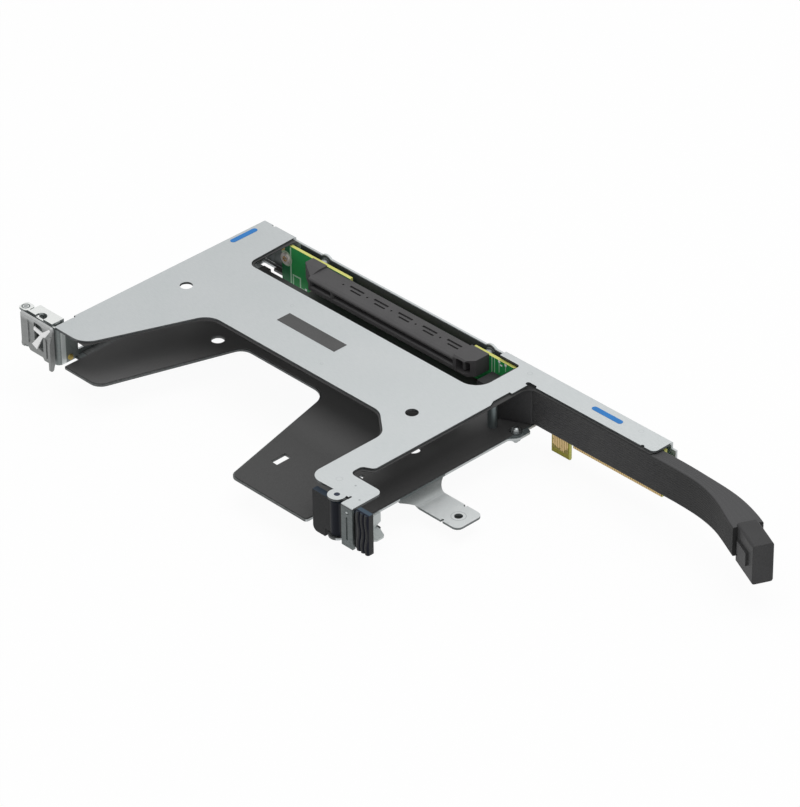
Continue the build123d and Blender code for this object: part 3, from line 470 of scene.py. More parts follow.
def foot_marks(tree, tone, x, y, z):
    """Painted shade on the web under the plate, on the cut edges and in a ring round the clinch nut's hole.
    """
    _, _, up = facing(tree)
    web_tone = blend_colours(tree, ramp(tree, z, *WEB_HEIGHTS), "#505756", "#343a39")
    quite_level = above(tree, up, QUITE_LEVEL)
    share = node(tree, "ShaderNodeMapRange", {"Value": quite_level, "To Min": 1.0, "To Max": 0.6})
    web = both(tree, ramp(tree, x, *WEB_FADE_XS), share.outputs["Result"])
    tone = painted(tree, tone, web, web_tone)
    # Painted shade: the foot's upright cut edges are darker.
    cut = both(tree, upright(tree, up), above(tree, x, FOOT_EDGE_X))
    tone = painted(tree, tone, cut, "#5d6464")
    # Painted shade: a faint ring where the nut's rim shows round the hole.
    rim = inside(tree, distance(tree, x, y, FOOT_HOLE), *NUT_RIM)
    return painted(tree, tone, rim, "#6f7678", 0.35)


# %% [markdown]
# The rear latch's bracket is painted pale, a painted light that its level top keeps. Its upright walls get
# painted shade, with a painted glint down the bend, and there is a ring round the pin on its top. The gate
# is painted paler towards its top and its pin side. The flange in the rear corner gets painted shade on
# its inward side. The tab under the nose has a three-cornered hole in its web, which is painted dark and
# isn't cut.

# %% Marks on the smaller pressed pieces
REAR_PIN = (-19.6, -117.9)
REAR_PIN_RING = (1.3, 1.9)
BEND_YS = (-117.6, -115.2)
PALER_GATE_HEIGHTS = (-3.0, -1.6)
PALER_GATE_XS = (-18.2, -19.6)
HOLE_XS = (172.0, 175.0)
HOLE_YS = (-107.2, -103.6)
HOLE_FROM_Z = -24.6
HOLE_SLOPE = -126.6


def bracket_marks(tree, tone, x, y, z):
    """Upright walls in shade, a glint down the bend, and a ring round the pin."""
    side_x, _, up = facing(tree)
    tone = painted(tree, tone, upright(tree, up), "#7a8281")
    glint = both(tree, above(tree, side_x, 0.5), inside(tree, y, *BEND_YS))
    tone = painted(tree, tone, glint, "#e3e9e8")
    ring = inside(tree, distance(tree, x, y, REAR_PIN), *REAR_PIN_RING)
    return painted(tree, tone, both(tree, ring, level(tree, up)), "#5a6362")


def gate_marks(tree, tone, x, y, z):
    """The gate is painted paler towards its top and its pin side."""
    paler_parts = either(tree, ramp(tree, z, *PALER_GATE_HEIGHTS), ramp(tree, x, *PALER_GATE_XS))
    return painted(tree, tone, paler_parts, "#d9dbdb", 0.4)


def flange_marks(tree, tone, x, y, z):
    """The flange's inward side is in shade."""
    _, side_y, _ = facing(tree)
    return painted(tree, tone, below(tree, side_y, 0.5), "#8b9192")


def tab_marks(tree, tone, x, y, z):
    """The three-cornered hole in the tab's web. Its third side runs where Y and Z add up to one sum."""
    slope = node(tree, "ShaderNodeMath", {0: y, 1: z}, operation="ADD").outputs[0]
    corner_of_web = both(tree, above(tree, z, HOLE_FROM_Z), below(tree, slope, HOLE_SLOPE))
    hole = both(tree, inside(tree, x, *HOLE_XS), inside(tree, y, *HOLE_YS), corner_of_web)
    return painted(tree, tone, hole, "#3a4040")


# %% The sheet finishes
plate_steel = sheet_steel("galvanised_steel_top", "#c0c4c5", "#bcc1c2", top_plate_marks)
lower_steel = sheet_steel("galvanised_steel_lower", "#c4c9ca", "#bec3c4", lower_plate_marks)
# Painted light: the foot's steel is paler than the plate's, because the cage shades the foot.
foot_steel = sheet_steel("galvanised_steel_foot", "#dadede", "#d5d9d9", foot_marks)
# Painted light: the bracket's steel is paler still, so that its level top reads nearly white.
bracket_steel = sheet_steel("galvanised_steel_bracket", "#eceeec", "#e4e6e4", bracket_marks)
flange_steel = sheet_steel("galvanised_steel_flange", "#c4c9ca", "#b4babb", flange_marks)
# Painted shade: the gusset's steel is a dark copy of the sheet.
gusset_steel = sheet_steel("galvanised_steel_gusset", "#565e5f", "#50585a")
tab_steel = sheet_steel("galvanised_steel_tab", "#c4cac9", "#bcc2c1", tab_marks)
gate_steel = sheet_steel("pressed_steel_gate", "#8b8d8c", "#7f8180", gate_marks)
bright_steel = sheet_steel("bright_steel_strip", "#ffffff", "#fafafa", metallic=0.0, roughness=0.35)
print("sheet finishes", [m.name for m in bpy.data.materials if "steel" in m.name])

# %% [markdown]
# ## Polyester film
# Thin dark film keeps the card's solder points off the steel. It's extruded polyester with a matte face
# and a fine leathery emboss. Its gloss is weak, so the specular level is below that of bare plastic. At
# the notch in the cage's inner corner the top film lies in deep shade. The lower film gets painted light,
# which makes it paler where it lies deep under the top plate.

# %% Film
NOTCH_AT = (169.0, -10.4)
NOTCH_FADE = (7.0, 4.0)
NOTCH_TOP_Z = -2.2
DEEP_YS = (-88.0, -56.0)
DEEP_REAR_XS = (48.0, 26.0)
DEEP_FRONT_XS = (170.0, 158.0)
LOWER_FILM_Z = -17.0


def film_plastic(name, colour, shade, marks=None):
    """Matte dark film with a fine leathery emboss. marks may change its tone from place to place."""
    made, tree, shader = material(name, Roughness=0.6, IOR=1.5, Specular_IOR_Level=0.22)
    place, x, y, z = plan_place(tree)
    cloud = speckle(tree, place, size=60.0, detail=1.0)
    emboss = speckle(tree, place, size=0.35)
    tone = blend_colours(tree, between(tree, cloud, 0.0, 1.0), colour, shade)
    if marks:
        tone = marks(tree, tone, x, y, z)
    tone = blend_colours(tree, between(tree, emboss, 0.0, 0.1), tone, "#808080")
    tree.links.new(tone, shader.inputs["Base Color"])
    bumped(tree, shader, emboss, 0.006)
    return made


def by_the_notch(tree, tone, x, y, z):
    """The top film lies in deep shade under the notch at the cage's inner corner."""
    near = ramp(tree, distance(tree, x, y, NOTCH_AT), *NOTCH_FADE)
    return painted(tree, tone, both(tree, near, above(tree, z, NOTCH_TOP_Z)), "#0a0b0c")


def light_under_plate(tree, tone, x, y, z):
    """Painted light: a paler tone where the lower film lies deep under the top plate."""
    deep = either(tree, ramp(tree, y, *DEEP_YS), ramp(tree, x, *DEEP_REAR_XS))
    deep = both(tree, deep, ramp(tree, x, *DEEP_FRONT_XS), below(tree, z, LOWER_FILM_Z))
    # Painted light: the lower film is paler deep under the top plate.
    return painted(tree, tone, deep, "#606060")


dark_film = film_plastic("polyester_film", "#434343", "#3e3e3e", by_the_notch)
lower_film = film_plastic("polyester_film_lower", "#434343", "#3e3e3e", light_under_plate)
wall_film = film_plastic("polyester_film_wall", "#3b3f40", "#373a3b")
print("films", [m.name for m in (dark_film, lower_film, wall_film)])

# %% [markdown]
# ## Circuit board
# The board is glass and epoxy under a green solder mask. Its cut edges show the raw laminate, a pale
# yellow green. The mask covers only the two large faces, so the material chooses by the way a face
# looks: across the board it's mask, and anything else is laminate. Tracks under the mask are lighter
# green lines 0.4 to 0.8 mm wide, pads are bare tin, and the plated hole at the corner has a gold rim.
# The board is bluer at its rear end, pale round the screw, and olive on the tabs that carry the fingers.
# The mask is brighter than it looks in the cage, because little light gets in there.

# %% What is printed and plated on the board
TRACKS = [
    ((21.0, 21.8), (-21.6, -2.6)),
    ((22.4, 23.2), (-21.6, -15.4)),
    ((22.4, 27.6), (-16.1, -15.3)),
    ((26.8, 27.6), (-21.6, -15.3)),
    ((27.5, 30.0), (-21.0, -20.2)),
    ((143.0, 143.5), (-12.0, -2.0)),
    ((144.6, 145.0), (-12.0, -2.0)),
    ((147.2, 147.6), (-8.0, -2.6)),
    ((151.0, 151.4), (-6.0, -2.6)),
    ((195.0, 236.0), (-6.2, -5.8)),
    ((195.0, 236.0), (-7.4, -7.0)),
    ((60.0, 130.0), (-14.6, -14.2)),
    ((60.0, 130.0), (-15.8, -15.4)),
]
PADS = [
    ((30.0, 31.2), (-20.6, -19.4)),
    ((146.9, 148.1), (-3.2, -2.0)),
    ((150.6, 151.8), (-3.4, -2.2)),
    ((147.9, 149.3), (-4.4, -3.6)),
]
RIM_AT = (15.8, -4.4)
RIM_RING = (1.1, 2.1)
SCREW_AT = (18.5, -9.2)
SCREW_LAND = 3.7
REAR_END_X = 20.6
TAB_X = 150.0
TAB_Z = -17.2
BROAD_FACE = 0.7


# %% The board's material
def rectangles(tree, x, z, areas):
    """One inside any of the areas. Each area is a range along X and a range of heights."""
    masks = [both(tree, inside(tree, x, *along), inside(tree, z, *tall)) for along, tall in areas]
    return either(tree, *masks)


def circuit_board():
    """Green mask on the faces, bare laminate on the edges, with tracks, pads and a plated rim."""
    made, tree, shader = material("fr4_green_mask", Roughness=0.45, IOR=1.5, Specular_IOR_Level=0.2)
    place, x, _, z = plan_place(tree)
    _, side_y, _ = facing(tree)
    broad = either(tree, above(tree, side_y, BROAD_FACE), below(tree, side_y, -BROAD_FACE))
    weave = speckle(tree, place, size=0.7)
    cloud = speckle(tree, place, size=7.0)
    green = blend_colours(tree, between(tree, cloud, 0.0, 1.0), "#2f9a50", "#279050")
    green = painted(tree, green, below(tree, x, REAR_END_X), "#1f7346")
    tracks = rectangles(tree, x, z, TRACKS)
    pads = rectangles(tree, x, z, PADS)
    green = painted(tree, green, tracks, "#c4e6c9", 0.85)
    green = painted(tree, green, pads, "#f4f6f4")
    rim = inside(tree, distance(tree, x, z, RIM_AT), *RIM_RING)
    green = painted(tree, green, rim, "#d9b877")
    land = below(tree, distance(tree, x, z, SCREW_AT), SCREW_LAND)
    green = painted(tree, green, land, "#b9cfb4")
    tab = both(tree, below(tree, z, TAB_Z), above(tree, x, TAB_X))
    green = painted(tree, green, tab, "#a29c3a")
    laminate = blend_colours(tree, weave, "#dcdc84", "#c4c466")
    tree.links.new(painted(tree, laminate, broad, green), shader.inputs["Base Color"])
    bumped(tree, shader, either(tree, tracks, pads), 0.03)
    return made


board_material = circuit_board()
print("board", board_material.name, "with", len(TRACKS), "tracks and", len(PADS), "pads")

# %% [markdown]
# ## Gold, brass and turned parts
# The fingers are hard gold over nickel, which is paler and pinker than pure gold. The contacts stand deep
# in the slot, so theirs is dark. The rivet at the rear is turned brass. Screws, posts and pins are nickel
# plated. Each keeps the default IOR of a metal. On the short edge tab the gold ends in a ragged line,
# where the board's etched ends show olive.

# %% Small metals
RAGGED_Z = -28.2
RAGGED_REACH = 3.2
SHORT_TAB_X = 189.0
SCREW_RING = (0.7, 1.3)


def plated_metal(name, colour, roughness, metallic=1.0, marks=None):
    """A plain plated metal with fine tool marks. marks may change its tone from place to place."""
    made, tree, shader = material(name, Metallic=metallic, Roughness=roughness)
    place, x, _, z = plan_place(tree)
    tooling = speckle(tree, place, size=0.3)
    tone = blend_colours(tree, between(tree, tooling, 0.0, 0.16), colour, "#5d5a52")
    if marks:
        tone = marks(tree, tone, place, x, z)
    tree.links.new(tone, shader.inputs["Base Color"])
    bumped(tree, shader, tooling, 0.004)
    return made


def ragged_ends(tree, tone, place, x, z):
    """Olive blotches over the lower ends of the fingers on the short tab."""
    blotches = speckle(tree, place, size=2.0, detail=1.0)
    shift = between(tree, blotches, -RAGGED_REACH, RAGGED_REACH)
    ragged_z = node(tree, "ShaderNodeMath", {0: z, 1: shift}, operation="ADD").outputs[0]
    worn = both(tree, below(tree, ragged_z, RAGGED_Z), below(tree, x, SHORT_TAB_X))
    return painted(tree, tone, worn, "#6b6720", 0.8)


def screw_centre(tree, tone, place, x, z):
    """A gold ring in the middle of the board screw's pale head."""
    return painted(tree, tone, inside(tree, distance(tree, x, z, SCREW_AT), *SCREW_RING), "#cfa457")


finger_gold = plated_metal("hard_gold_plating", "#e0c08c", 0.4, metallic=0.7, marks=ragged_ends)
contact_gold = plated_metal("contact_gold", "#5a5140", 0.5)
rivet_brass = plated_metal("turned_brass", "#c3aa58", 0.4, metallic=0.6)
turned_steel = plated_metal("nickel_plated_steel", "#a9adae", 0.34)
# Painted shade: the post's plating is darker than that of the other turned parts.
post_steel = plated_metal("plate_post_steel", "#7d8789", 0.4, metallic=0.8)
# The nut is painted dark, which makes the foot's screw hole read dark from above.
nut_steel = plated_metal("dark_nut_steel", "#33393a", 0.5, metallic=0.3)
screw_steel = plated_metal("nickel_plated_screw", "#e6dfd8", 0.45, metallic=0.25, marks=screw_centre)
rivet_steel = plated_metal("zinc_rivet", "#c4c8c9", 0.4)
print("small metals", finger_gold.name, contact_gold.name, rivet_brass.name, turned_steel.name)

# %% [markdown]
# ## Moulded plastics
# The slot is glass-filled nylon, grey-black and matte, with a fine spark-eroded mould texture. The latch
# is a smoother ABS moulding. Its upward edges get a painted reflection of the sky in slate blue, and the
# valleys of its grip get a nearly black painted shade, so the material takes its tone from the way a face
# looks and from its depth.
# The bundle's wires have matte black insulation, painted darker towards the far end, and the bundle's
# upward side gets painted light. The label field and the touch marks are flat prints, with the same fine
# texture.

# %% Plastics
GRIP_X = 188.0
GRIP_FRONT = -126.2
VALLEY_FADE = (0.06, 0.34)
VALLEY_DEPTH = 1.2
BARREL_XS = (172.4, 176.4)
BARREL_Y = -120.0
SKYWARD = 0.6
DARKER_XS = (215.0, 280.0)
TOP_FADE = (0.45, 0.9)


def moulded_plastic(name, colour, shade, roughness, grit, depth, gloss=0.3, marks=None):
    """Moulded plastic with an eroded mould texture of that grit size and depth in millimetres."""
    made, tree, shader = material(name, Roughness=roughness, IOR=1.5, Specular_IOR_Level=gloss)
    place, x, y, z = plan_place(tree)
    texture = speckle(tree, place, size=grit)
    cloud = speckle(tree, place, size=9.0, detail=1.0)
    tone = blend_colours(tree, between(tree, cloud, 0.0, 1.0), colour, shade)
    tone = blend_colours(tree, between(tree, texture, 0.0, 0.08), tone, "#9a9a9a")
    if marks:
        tone = marks(tree, tone, x, y, z)
    tree.links.new(tone, shader.inputs["Base Color"])
    bumped(tree, shader, texture, depth)
    return made


def latch_marks(tree, tone, x, y, z):
    """A dark pad and barrel, a slate blue painted reflection on upward faces, and painted shade in the
    valleys.
    """
    side_x, _, up = facing(tree)
    pad = below(tree, x, GRIP_X)
    tone = painted(tree, tone, pad, "#141516", 0.5)
    barrel = both(tree, inside(tree, x, *BARREL_XS), below(tree, y, BARREL_Y))
    tone = painted(tree, tone, barrel, "#060c1a", 0.85)
    # Painted reflection: upward faces pick up the slate blue of the sky.
    skyward = above(tree, up, SKYWARD)
    tone = painted(tree, tone, skyward, "#3c4c5a")
    tone = painted(tree, tone, both(tree, skyward, pad), "#2a343f")
    # Painted shade: the valleys of the grip are nearly black.
    behind_front = ramp(tree, y, GRIP_FRONT + VALLEY_FADE[0], GRIP_FRONT + VALLEY_FADE[1])
    in_grip = both(tree, above(tree, x, GRIP_X), below(tree, y, GRIP_FRONT + VALLEY_DEPTH))
    valley = both(tree, behind_front, in_grip, below(tree, side_x, 0.9))
    return painted(tree, tone, valley, "#040a1c", 0.95)


def bundle_marks(tree, tone, x, y, z):
    """Darker towards its far end, and painted light that makes the upward side paler than the outer ribbon.
    """
    _, _, up = facing(tree)
    tone = painted(tree, tone, ramp(tree, x, *DARKER_XS), "#1e1e1e", 0.6)
    # Painted light: the upward side is paler.
    return painted(tree, tone, ramp(tree, up, *TOP_FADE), "#4d4d4e")


slot_nylon = moulded_plastic("glass_filled_nylon", "#474647", "#424142", 0.6, 0.3, 0.01)
latch_plastic = moulded_plastic(
    "moulded_latch_abs", "#222324", "#1f2021", 0.45, 0.4, 0.006, gloss=0.14, marks=latch_marks
)
pin_plastic = moulded_plastic("moulded_latch_pin", "#16233c", "#131f36", 0.4, 0.3, 0.004, gloss=0.2)
plug_nylon = moulded_plastic("plug_nylon", "#343435", "#303031", 0.5, 0.3, 0.008, gloss=0.2)
label_print = moulded_plastic("label_print", "#494949", "#454545", 0.6, 0.3, 0.004)
mark_print = moulded_plastic("touch_mark_print", "#2c7cc4", "#2876bd", 0.5, 0.3, 0.004, gloss=0.15)
cable_sleeve = moulded_plastic(
    "wire_insulation", "#3a3a3a", "#363637", 0.62, 0.5, 0.008, gloss=0.2, marks=bundle_marks
)
print("plastics", slot_nylon.name, latch_plastic.name, plug_nylon.name, cable_sleeve.name)

# %% [markdown]
# ## Finishes on the solids
# A solid whose form is right stays as it is and only gets a finish. The list goes from finish to solids,
# because several solids share one.

# %% Give every carried-over solid its finish
FINISHES = {
    plate_steel: ["top_plate"],
    lower_steel: ["lower_plate"],
    foot_steel: ["foot_bracket"],
    bracket_steel: ["rear_latch_bracket"],
    gate_steel: ["rear_latch"],
    bright_steel: ["rear_latch_strip"],
    rivet_steel: ["foot_rivets", "seam_rivets"],
    rivet_brass: ["rear_rivets"],
    dark_film: ["top_film"],
    lower_film: ["lower_film"],
    wall_film: ["wall_film"],
    board_material: ["riser_board"],
    finger_gold: ["power_fingers", "signal_fingers"],
    contact_gold: ["slot_contacts"],
    slot_nylon: ["card_slot"],
    latch_plastic: ["card_latch"],
    pin_plastic: ["card_latch_pin"],
    plug_nylon: ["board_plug", "far_plug"],
    label_print: ["label_field"],
    mark_print: ["touch_mark_rear", "touch_mark_rail"],
    screw_steel: ["board_screws"],
    post_steel: ["plate_post"],
    turned_steel: ["board_standoffs", "wall_screws", "guide_stud", "rear_latch_pin"],
}
for finish, names in FINISHES.items():
    for name in names:
        for material_slot in nodes[name].material_slots:
            material_slot.material = finish
print("finished nodes", sum(len(names) for names in FINISHES.values()))

# %% [markdown]
# ## Small pressed parts
# The rear corner has a flange and a lip that close it down to the lower plate, and a gusset joins the
# rear leaf to that plate. These are blocks with all their edges bevelled. The foot carries a clinch nut,
# pressed in from below, round its screw hole, and the guide stud has a collar under its lug. Both are
# profiles turned round an upright axis.


# %% Helpers for pressed and turned pieces
def as_object(mesh, name, finish, body="cage"):
    """Turns a bmesh into an object that rides on a body."""
    bmesh.ops.recalc_face_normals(mesh, faces=mesh.faces)
    data = bpy.data.meshes.new(name)
    mesh.to_mesh(data)
    mesh.free()
    data.materials.append(finish)
    made = bpy.data.objects.new(name, data)
    bpy.context.collection.objects.link(made)
    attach(made, body)
    return made


def pressed_block(name, low, high, bevel, finish):
    """A block between two places in plan millimetres, with soft edges."""
    mesh = bmesh.new()
    size = at(*high) - at(*low)
    middle = (at(*high) + at(*low)) / 2
    bmesh.ops.create_cube(mesh, size=1.0, matrix=Matrix.Translation(middle) @ Matrix.Diagonal((*size, 1)))
    bmesh.ops.bevel(mesh, geom=mesh.edges[:], offset=bevel * MM, segments=2, affect="EDGES")
    return as_object(mesh, name, finish)


def turned_ring(name, place, profile, finish, steps=40):
    """A closed profile of radius and height, turned round the upright axis through place."""
    mesh = bmesh.new()
    rings = []
    for i in range(steps):
        angle = 2 * math.pi * i / steps
        way = Vector((math.cos(angle), math.sin(angle), 0))
        rings.append([mesh.verts.new(place + (way * r + Vector((0, 0, h))) * MM) for r, h in profile])
    for i, ring in enumerate(rings):
        following = rings[(i + 1) % steps]
        for j in range(len(profile)):
            k = (j + 1) % len(profile)
            mesh.faces.new((ring[j], following[j], following[k], ring[k]))
    return as_object(mesh, name, finish)


# %% Corner, gusset, nut and collar
LOWER_PLATE_TOP = -18.7
LOWER_PLATE_UNDER = -19.7
FOOT_UNDER = -26.0
flange = pressed_block(
    "corner_flange", (0.95, -1.0, LOWER_PLATE_TOP), (6.65, -0.1, -SHEET), 0.15, flange_steel
)
lip = pressed_block(
    "corner_lip", (6.7, -1.0, LOWER_PLATE_TOP), (15.8, -0.1, -17.93), 0.1, flange_steel
)
# The gusset is steel that joins the leaf to the plate, and its dark colour is a painted shade.
gusset = pressed_block(
    "leaf_gusset", (0.9, -110.5, -19.6), (7.5, -98.0, -18.8), 0.15, gusset_steel
)
NUT_PROFILE = [(1.8, 0.0), (3.1, 0.0), (3.1, -2.2), (2.7, -2.7), (1.8, -2.7)]
nut = turned_ring("foot_clinch_nut", at(*FOOT_HOLE, FOOT_UNDER), NUT_PROFILE, nut_steel)
STUD_PROFILE = [(0.9, 0.0), (2.0, 0.0), (2.0, -2.5), (1.6, -2.9), (0.9, -2.9)]
stud_low, stud_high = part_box("guide_stud")
stud_middle = (stud_low + stud_high) / 2
stud_place = Vector((stud_middle.x, stud_middle.y, at(0, 0, LOWER_PLATE_UNDER).z))
collar = turned_ring("stud_collar", stud_place, STUD_PROFILE, turned_steel)
print("small pressed pieces", [piece.name for piece in (flange, lip, gusset, nut, collar)])

# %% [markdown]
# Under the nose the lower plate has a lanced tab that stands on the same level as the foot. Its web is
# one outline in an upright plane, and its flange is an outline in a level plane. Both outlines are
# thickened by the sheet, and their rims are broken by a small bevel. The web's three-cornered hole is
# only painted, by the tab's material.

# %% The tab under the nose
WEB_X = 173.6
WEB_OUTLINE = [
    (-98.7, LOWER_PLATE_TOP),
    (-98.7, -23.2),
    (-101.6, -24.4),
    (-101.6, -25.6),
    (-108.0, -25.6),
    (-108.0, LOWER_PLATE_UNDER),
    (-102.9, LOWER_PLATE_UNDER),
    (-102.9, LOWER_PLATE_TOP),
]
FLANGE_UNDER = -26.05
FLANGE_THICK = 1.1
FLANGE_OUTLINE = [
    (WEB_X, -100.4),
    (176.8, -100.9),
    (180.2, -102.4),
    (180.9, -103.4),
    (180.9, -106.9),
    (180.0, -108.0),
    (WEB_X, -108.0),
]
TAB_BEVEL = 0.12


def thick_outline(mesh, points, push):
    """A prism from an outline, thickened by push."""
    near = [mesh.verts.new(p) for p in points]
    far = [mesh.verts.new(p + push) for p in points]
    mesh.faces.new(near)
    mesh.faces.new(far[::-1])
    for i in range(len(points)):
        j = (i + 1) % len(points)
        mesh.faces.new((near[i], near[j], far[j], far[i]))


tab_mesh = bmesh.new()
web_points = [at(WEB_X, y, z) for y, z in WEB_OUTLINE]
flange_points = [at(x, y, FLANGE_UNDER) for x, y in FLANGE_OUTLINE]
thick_outline(tab_mesh, web_points, Vector((SHEET * MM, 0, 0)))
thick_outline(tab_mesh, flange_points, Vector((0, 0, FLANGE_THICK * MM)))
bmesh.ops.recalc_face_normals(tab_mesh, faces=tab_mesh.faces)
bmesh.ops.bevel(tab_mesh, geom=tab_mesh.edges[:], offset=TAB_BEVEL * MM, segments=2, affect="EDGES")
nose_tab = as_object(tab_mesh, "nose_tab", tab_steel)
print("tab faces", len(nose_tab.data.polygons))

# %% [markdown]
# ## The latch's grip
# The ribs of the grip aren't straight: they wave gently from side to side on their way down, so that a
# thumb doesn't slip. The solid has straight ribs. Here a copy of its mesh is cut into level slices in
# the grip, and each slice of the ribs is moved along X by a sine of its height. The copy replaces it.

# %% Wavy grip
GRIP_FROM = 188.9
GRIP_TO = 195.8
GRIP_STILL = 0.3
GRIP_RIB_DEPTH = 1.0
GRIP_BOTTOM = -16.1
GRIP_TOP = 2.7
GRIP_SLICES = 36
WAVE_LENGTH = 12.5
WAVE_REACH = 0.4
latch_mesh = bmesh.new()
latch_mesh.from_mesh(nodes["card_latch"].data)
for i in range(1, GRIP_SLICES):
    height = GRIP_BOTTOM + (GRIP_TOP - GRIP_BOTTOM) * i / GRIP_SLICES
    grip_faces = [f for f in latch_mesh.faces if (f.calc_center_median() - corner).x / MM > GRIP_FROM]
    near = {e for f in grip_faces for e in f.edges} | {v for f in grip_faces for v in f.verts}
    bmesh.ops.bisect_plane(
        latch_mesh, geom=list(near) + grip_faces, dist=1e-7, plane_co=at(0, 0, height), plane_no=(0, 0, 1)
    )
for vertex in latch_mesh.verts:
    x, y, z = ((vertex.co[axis] - corner[axis]) / MM for axis in range(3))
    if GRIP_FROM + GRIP_STILL < x < GRIP_TO and y < GRIP_FRONT + GRIP_RIB_DEPTH:
        vertex.co.x += WAVE_REACH * MM * math.sin(2 * math.pi * (z - GRIP_TOP) / WAVE_LENGTH)
card_latch = as_object(latch_mesh, "card_latch_moulding", latch_plastic, "card_latch")
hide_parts("card_latch")
print("latch faces", len(card_latch.data.polygons))

# %% [markdown]
# ## Cable bundle
# Flat ribbons of wires are stacked into a bundle that leaves the board's plug, runs level under the rail
# and fans out past its end. The centre line is a smooth curve, guided by the points of the solid's route.

# %% The cable's route
CABLE_Z = -9.8
CABLE_ROUTE = [
    (172.5, -8.55),
    (200.0, -8.65),
    (240.0, -8.5),
    (262.0, -8.7),
    (277.0, -10.8),
    (289.0, -14.6),
    (300.0, -19.8),
]
route_data = bpy.data.curves.new("cable_route", "CURVE")
route_data.dimensions = "3D"
route_data.resolution_u = 12
route_line = route_data.splines.new("NURBS")
route_line.points.add(len(CABLE_ROUTE) - 1)
for control, (x, y) in zip(route_line.points, CABLE_ROUTE):
    control.co = (*at(x, y, CABLE_Z), 1)
route_line.order_u = 3
route_line.use_endpoint_u = True
route = bpy.data.objects.new("cable_route", route_data)
bpy.context.collection.objects.link(route)
bpy.context.view_layer.update()
route_mesh = bpy.data.meshes.new_from_object(route)
route_points = [v.co.copy() for v in route_mesh.vertices]
bpy.data.objects.remove(route)

# %% [markdown]
# The bundle is a tube round that line, whose section widens and gets lower towards the far plug. Each
# wire of the outer ribbons shows as a shallow ridge, and the ribbons' edges as ridges on the top and the
# underside. All sizes are in millimetres.

# %% The bundle's section
BUNDLE_THIN = 6.4
BUNDLE_TALL = 16.4
FAN_FROM = 262.0
FAN_THIN = 13.0
FAN_TALL = 13.6
BUNDLE_ROUND = 0.7
ROUND_STEPS = 3
WIRES = 13
RIBBONS = 5
GROOVE = 0.09


def ridged_side(start, end, count):
    """Points from start to end with a shallow groove after each of count ridges, inwards of the line."""
    along_side = Vector(end) - Vector(start)
    inwards = Vector((-along_side.y, along_side.x)).normalized() * GROOVE
    points = []
    for i in range(count):
        for share, depth in ((0.0, 1.0), (0.2, 0.0), (0.8, 0.0)):
            deep = depth if i else 0.0
            points.append(Vector(start) + along_side * (i + share) / count + inwards * deep)
    return points + [Vector(end)]


def ridged_section(thin, tall):
    """A rectangle with round corners, ridged by wires on its tall sides and by ribbons on its short ones."""
    half_thin = thin / 2
    half_tall = tall / 2
    w = half_thin - BUNDLE_ROUND
    h = half_tall - BUNDLE_ROUND
    middles = [(w, h), (-w, h), (-w, -h), (w, -h)]
    sides = [
        ((w, half_tall), (-w, half_tall), RIBBONS),
        ((-half_thin, h), (-half_thin, -h), WIRES),
        ((-w, -half_tall), (w, -half_tall), RIBBONS),
        ((half_thin, -h), (half_thin, h), WIRES),
    ]
    points = []
    for quarter, (middle, side) in enumerate(zip(middles, sides)):
        for step in range(1, ROUND_STEPS):
            angle = math.pi / 2 * (quarter + step / ROUND_STEPS)
            points.append(Vector(middle) + Vector((math.cos(angle), math.sin(angle))) * BUNDLE_ROUND)
        points += ridged_side(*side)
    return points


def bundle_section(point):
    """The bundle's section, which widens and gets lower past the rail's end."""
    x = (point.x - corner.x) / MM
    fan = min(max((x - FAN_FROM) / (CABLE_ROUTE[-1][0] - FAN_FROM), 0.0), 1.0)
    fan = fan * fan * (3 - 2 * fan)
    thin = BUNDLE_THIN + (FAN_THIN - BUNDLE_THIN) * fan
    tall = BUNDLE_TALL + (FAN_TALL - BUNDLE_TALL) * fan
    drop = (BUNDLE_TALL - tall) / 2
    return [(place.x, place.y + drop) for place in ridged_section(thin, tall)]


# %% The bundle along its route
SHARP = math.radians(28)


def swept(name, line, section_at, finish):
    """A closed tube along line. section_at gives the section's points at each place on it."""
    mesh = bmesh.new()
    rings = []
    for i, point in enumerate(line):
        ahead = line[min(i + 1, len(line) - 1)] - line[max(i - 1, 0)]
        side = Vector((0, 0, 1)).cross(ahead).normalized()
        ring = [
            mesh.verts.new(point + side * (across * MM) + Vector((0, 0, up * MM)))
            for across, up in section_at(point)
        ]
        rings.append(ring)
    for first, second in zip(rings, rings[1:]):
        for j in range(len(first)):
            k = (j + 1) % len(first)
            mesh.faces.new((first[j], second[j], second[k], first[k]))
    mesh.faces.new(rings[0])
    mesh.faces.new(rings[-1][::-1])
    bmesh.ops.recalc_face_normals(mesh, faces=mesh.faces)
    for edge in mesh.edges:
        edge.smooth = edge.calc_face_angle(0.0) < SHARP
    for face in mesh.faces:
        face.smooth = True
    return as_object(mesh, name, finish)


cable = swept("cable_bundle", route_points, bundle_section, cable_sleeve)
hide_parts("cable")
print("bundle faces", len(cable.data.polygons))

# %% [markdown]
# ## Floor and light
# The floor and the room are plain white. Rays that come straight from the camera, and those that metal
# reflects, see them at or near full white, so the lamp can stay at a level at which colours render as
# written. One large soft lamp hangs overhead, slightly towards the board side, so upward faces are the
# lightest. Sizes here are in metres, and the lamp's power is in watts.

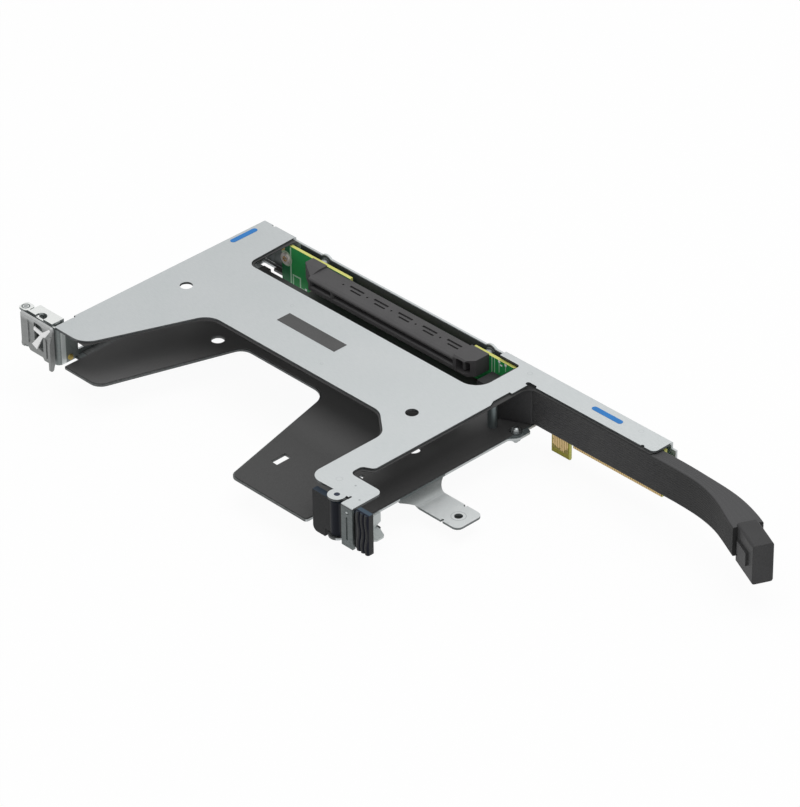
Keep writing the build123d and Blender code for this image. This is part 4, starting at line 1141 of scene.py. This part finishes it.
# %% Floor
FLOOR_HALF = 6.0
FLOOR_GLOW = 0.94
floor_z = cad_low.z
floor_mesh = bpy.data.meshes.new("floor")
floor_mesh.from_pydata(
    [(x * FLOOR_HALF, y * FLOOR_HALF, floor_z) for x, y in ((-1, -1), (1, -1), (1, 1), (-1, 1))],
    [],
    [(0, 1, 2, 3)],
)
floor = bpy.data.objects.new("floor", floor_mesh)
bpy.context.collection.objects.link(floor)
floor_finish, floor_tree, floor_shader = material(
    "white_floor", Base_Color=linear("#f4f4f4"), Roughness=0.9, Specular_IOR_Level=0.0
)
glow = node(floor_tree, "ShaderNodeEmission", {"Color": linear("#ffffff"), "Strength": 1.0})
path = node(floor_tree, "ShaderNodeLightPath")
seen = either(floor_tree, path.outputs["Is Camera Ray"], path.outputs["Is Glossy Ray"])
mixed = node(
    floor_tree,
    "ShaderNodeMixShader",
    {0: both(floor_tree, seen, FLOOR_GLOW), 1: floor_shader.outputs[0], 2: glow.outputs[0]},
)
floor_tree.links.new(mixed.outputs[0], floor_tree.nodes["Material Output"].inputs["Surface"])
floor_mesh.materials.append(floor_finish)
print("floor at", round(floor_z, 4), "m")

# %% Room
ROOM_LIGHT = 0.6
ROOM_GLOSS = 0.85
world = bpy.data.worlds.new("room")
bpy.context.scene.world = world
world.use_nodes = True
world_tree = world.node_tree
room_path = node(world_tree, "ShaderNodeLightPath")
room_level = either(
    world_tree,
    room_path.outputs["Is Camera Ray"],
    room_path.outputs["Is Transmission Ray"],
    both(world_tree, room_path.outputs["Is Glossy Ray"], ROOM_GLOSS),
    ROOM_LIGHT,
)
room = world_tree.nodes["Background"]
room.inputs["Color"].default_value = linear("#ffffff")
world_tree.links.new(room_level, room.inputs["Strength"])

# %% Overhead lamp
LAMP_PLACE = Vector((0.0, 0.12, 1.3))
LAMP_SIZE = 1.3
LAMP_POWER = 8.8
lamp_data = bpy.data.lights.new("overhead", "AREA")
lamp_data.size = LAMP_SIZE
lamp_data.energy = LAMP_POWER
lamp = bpy.data.objects.new("overhead", lamp_data)
lamp.location = LAMP_PLACE
lamp.rotation_mode = "QUATERNION"
lamp.rotation_quaternion = (-LAMP_PLACE).to_track_quat("-Z", "Y")
bpy.context.collection.objects.link(lamp)
print("lamp", LAMP_POWER, "W, room", ROOM_LIGHT)
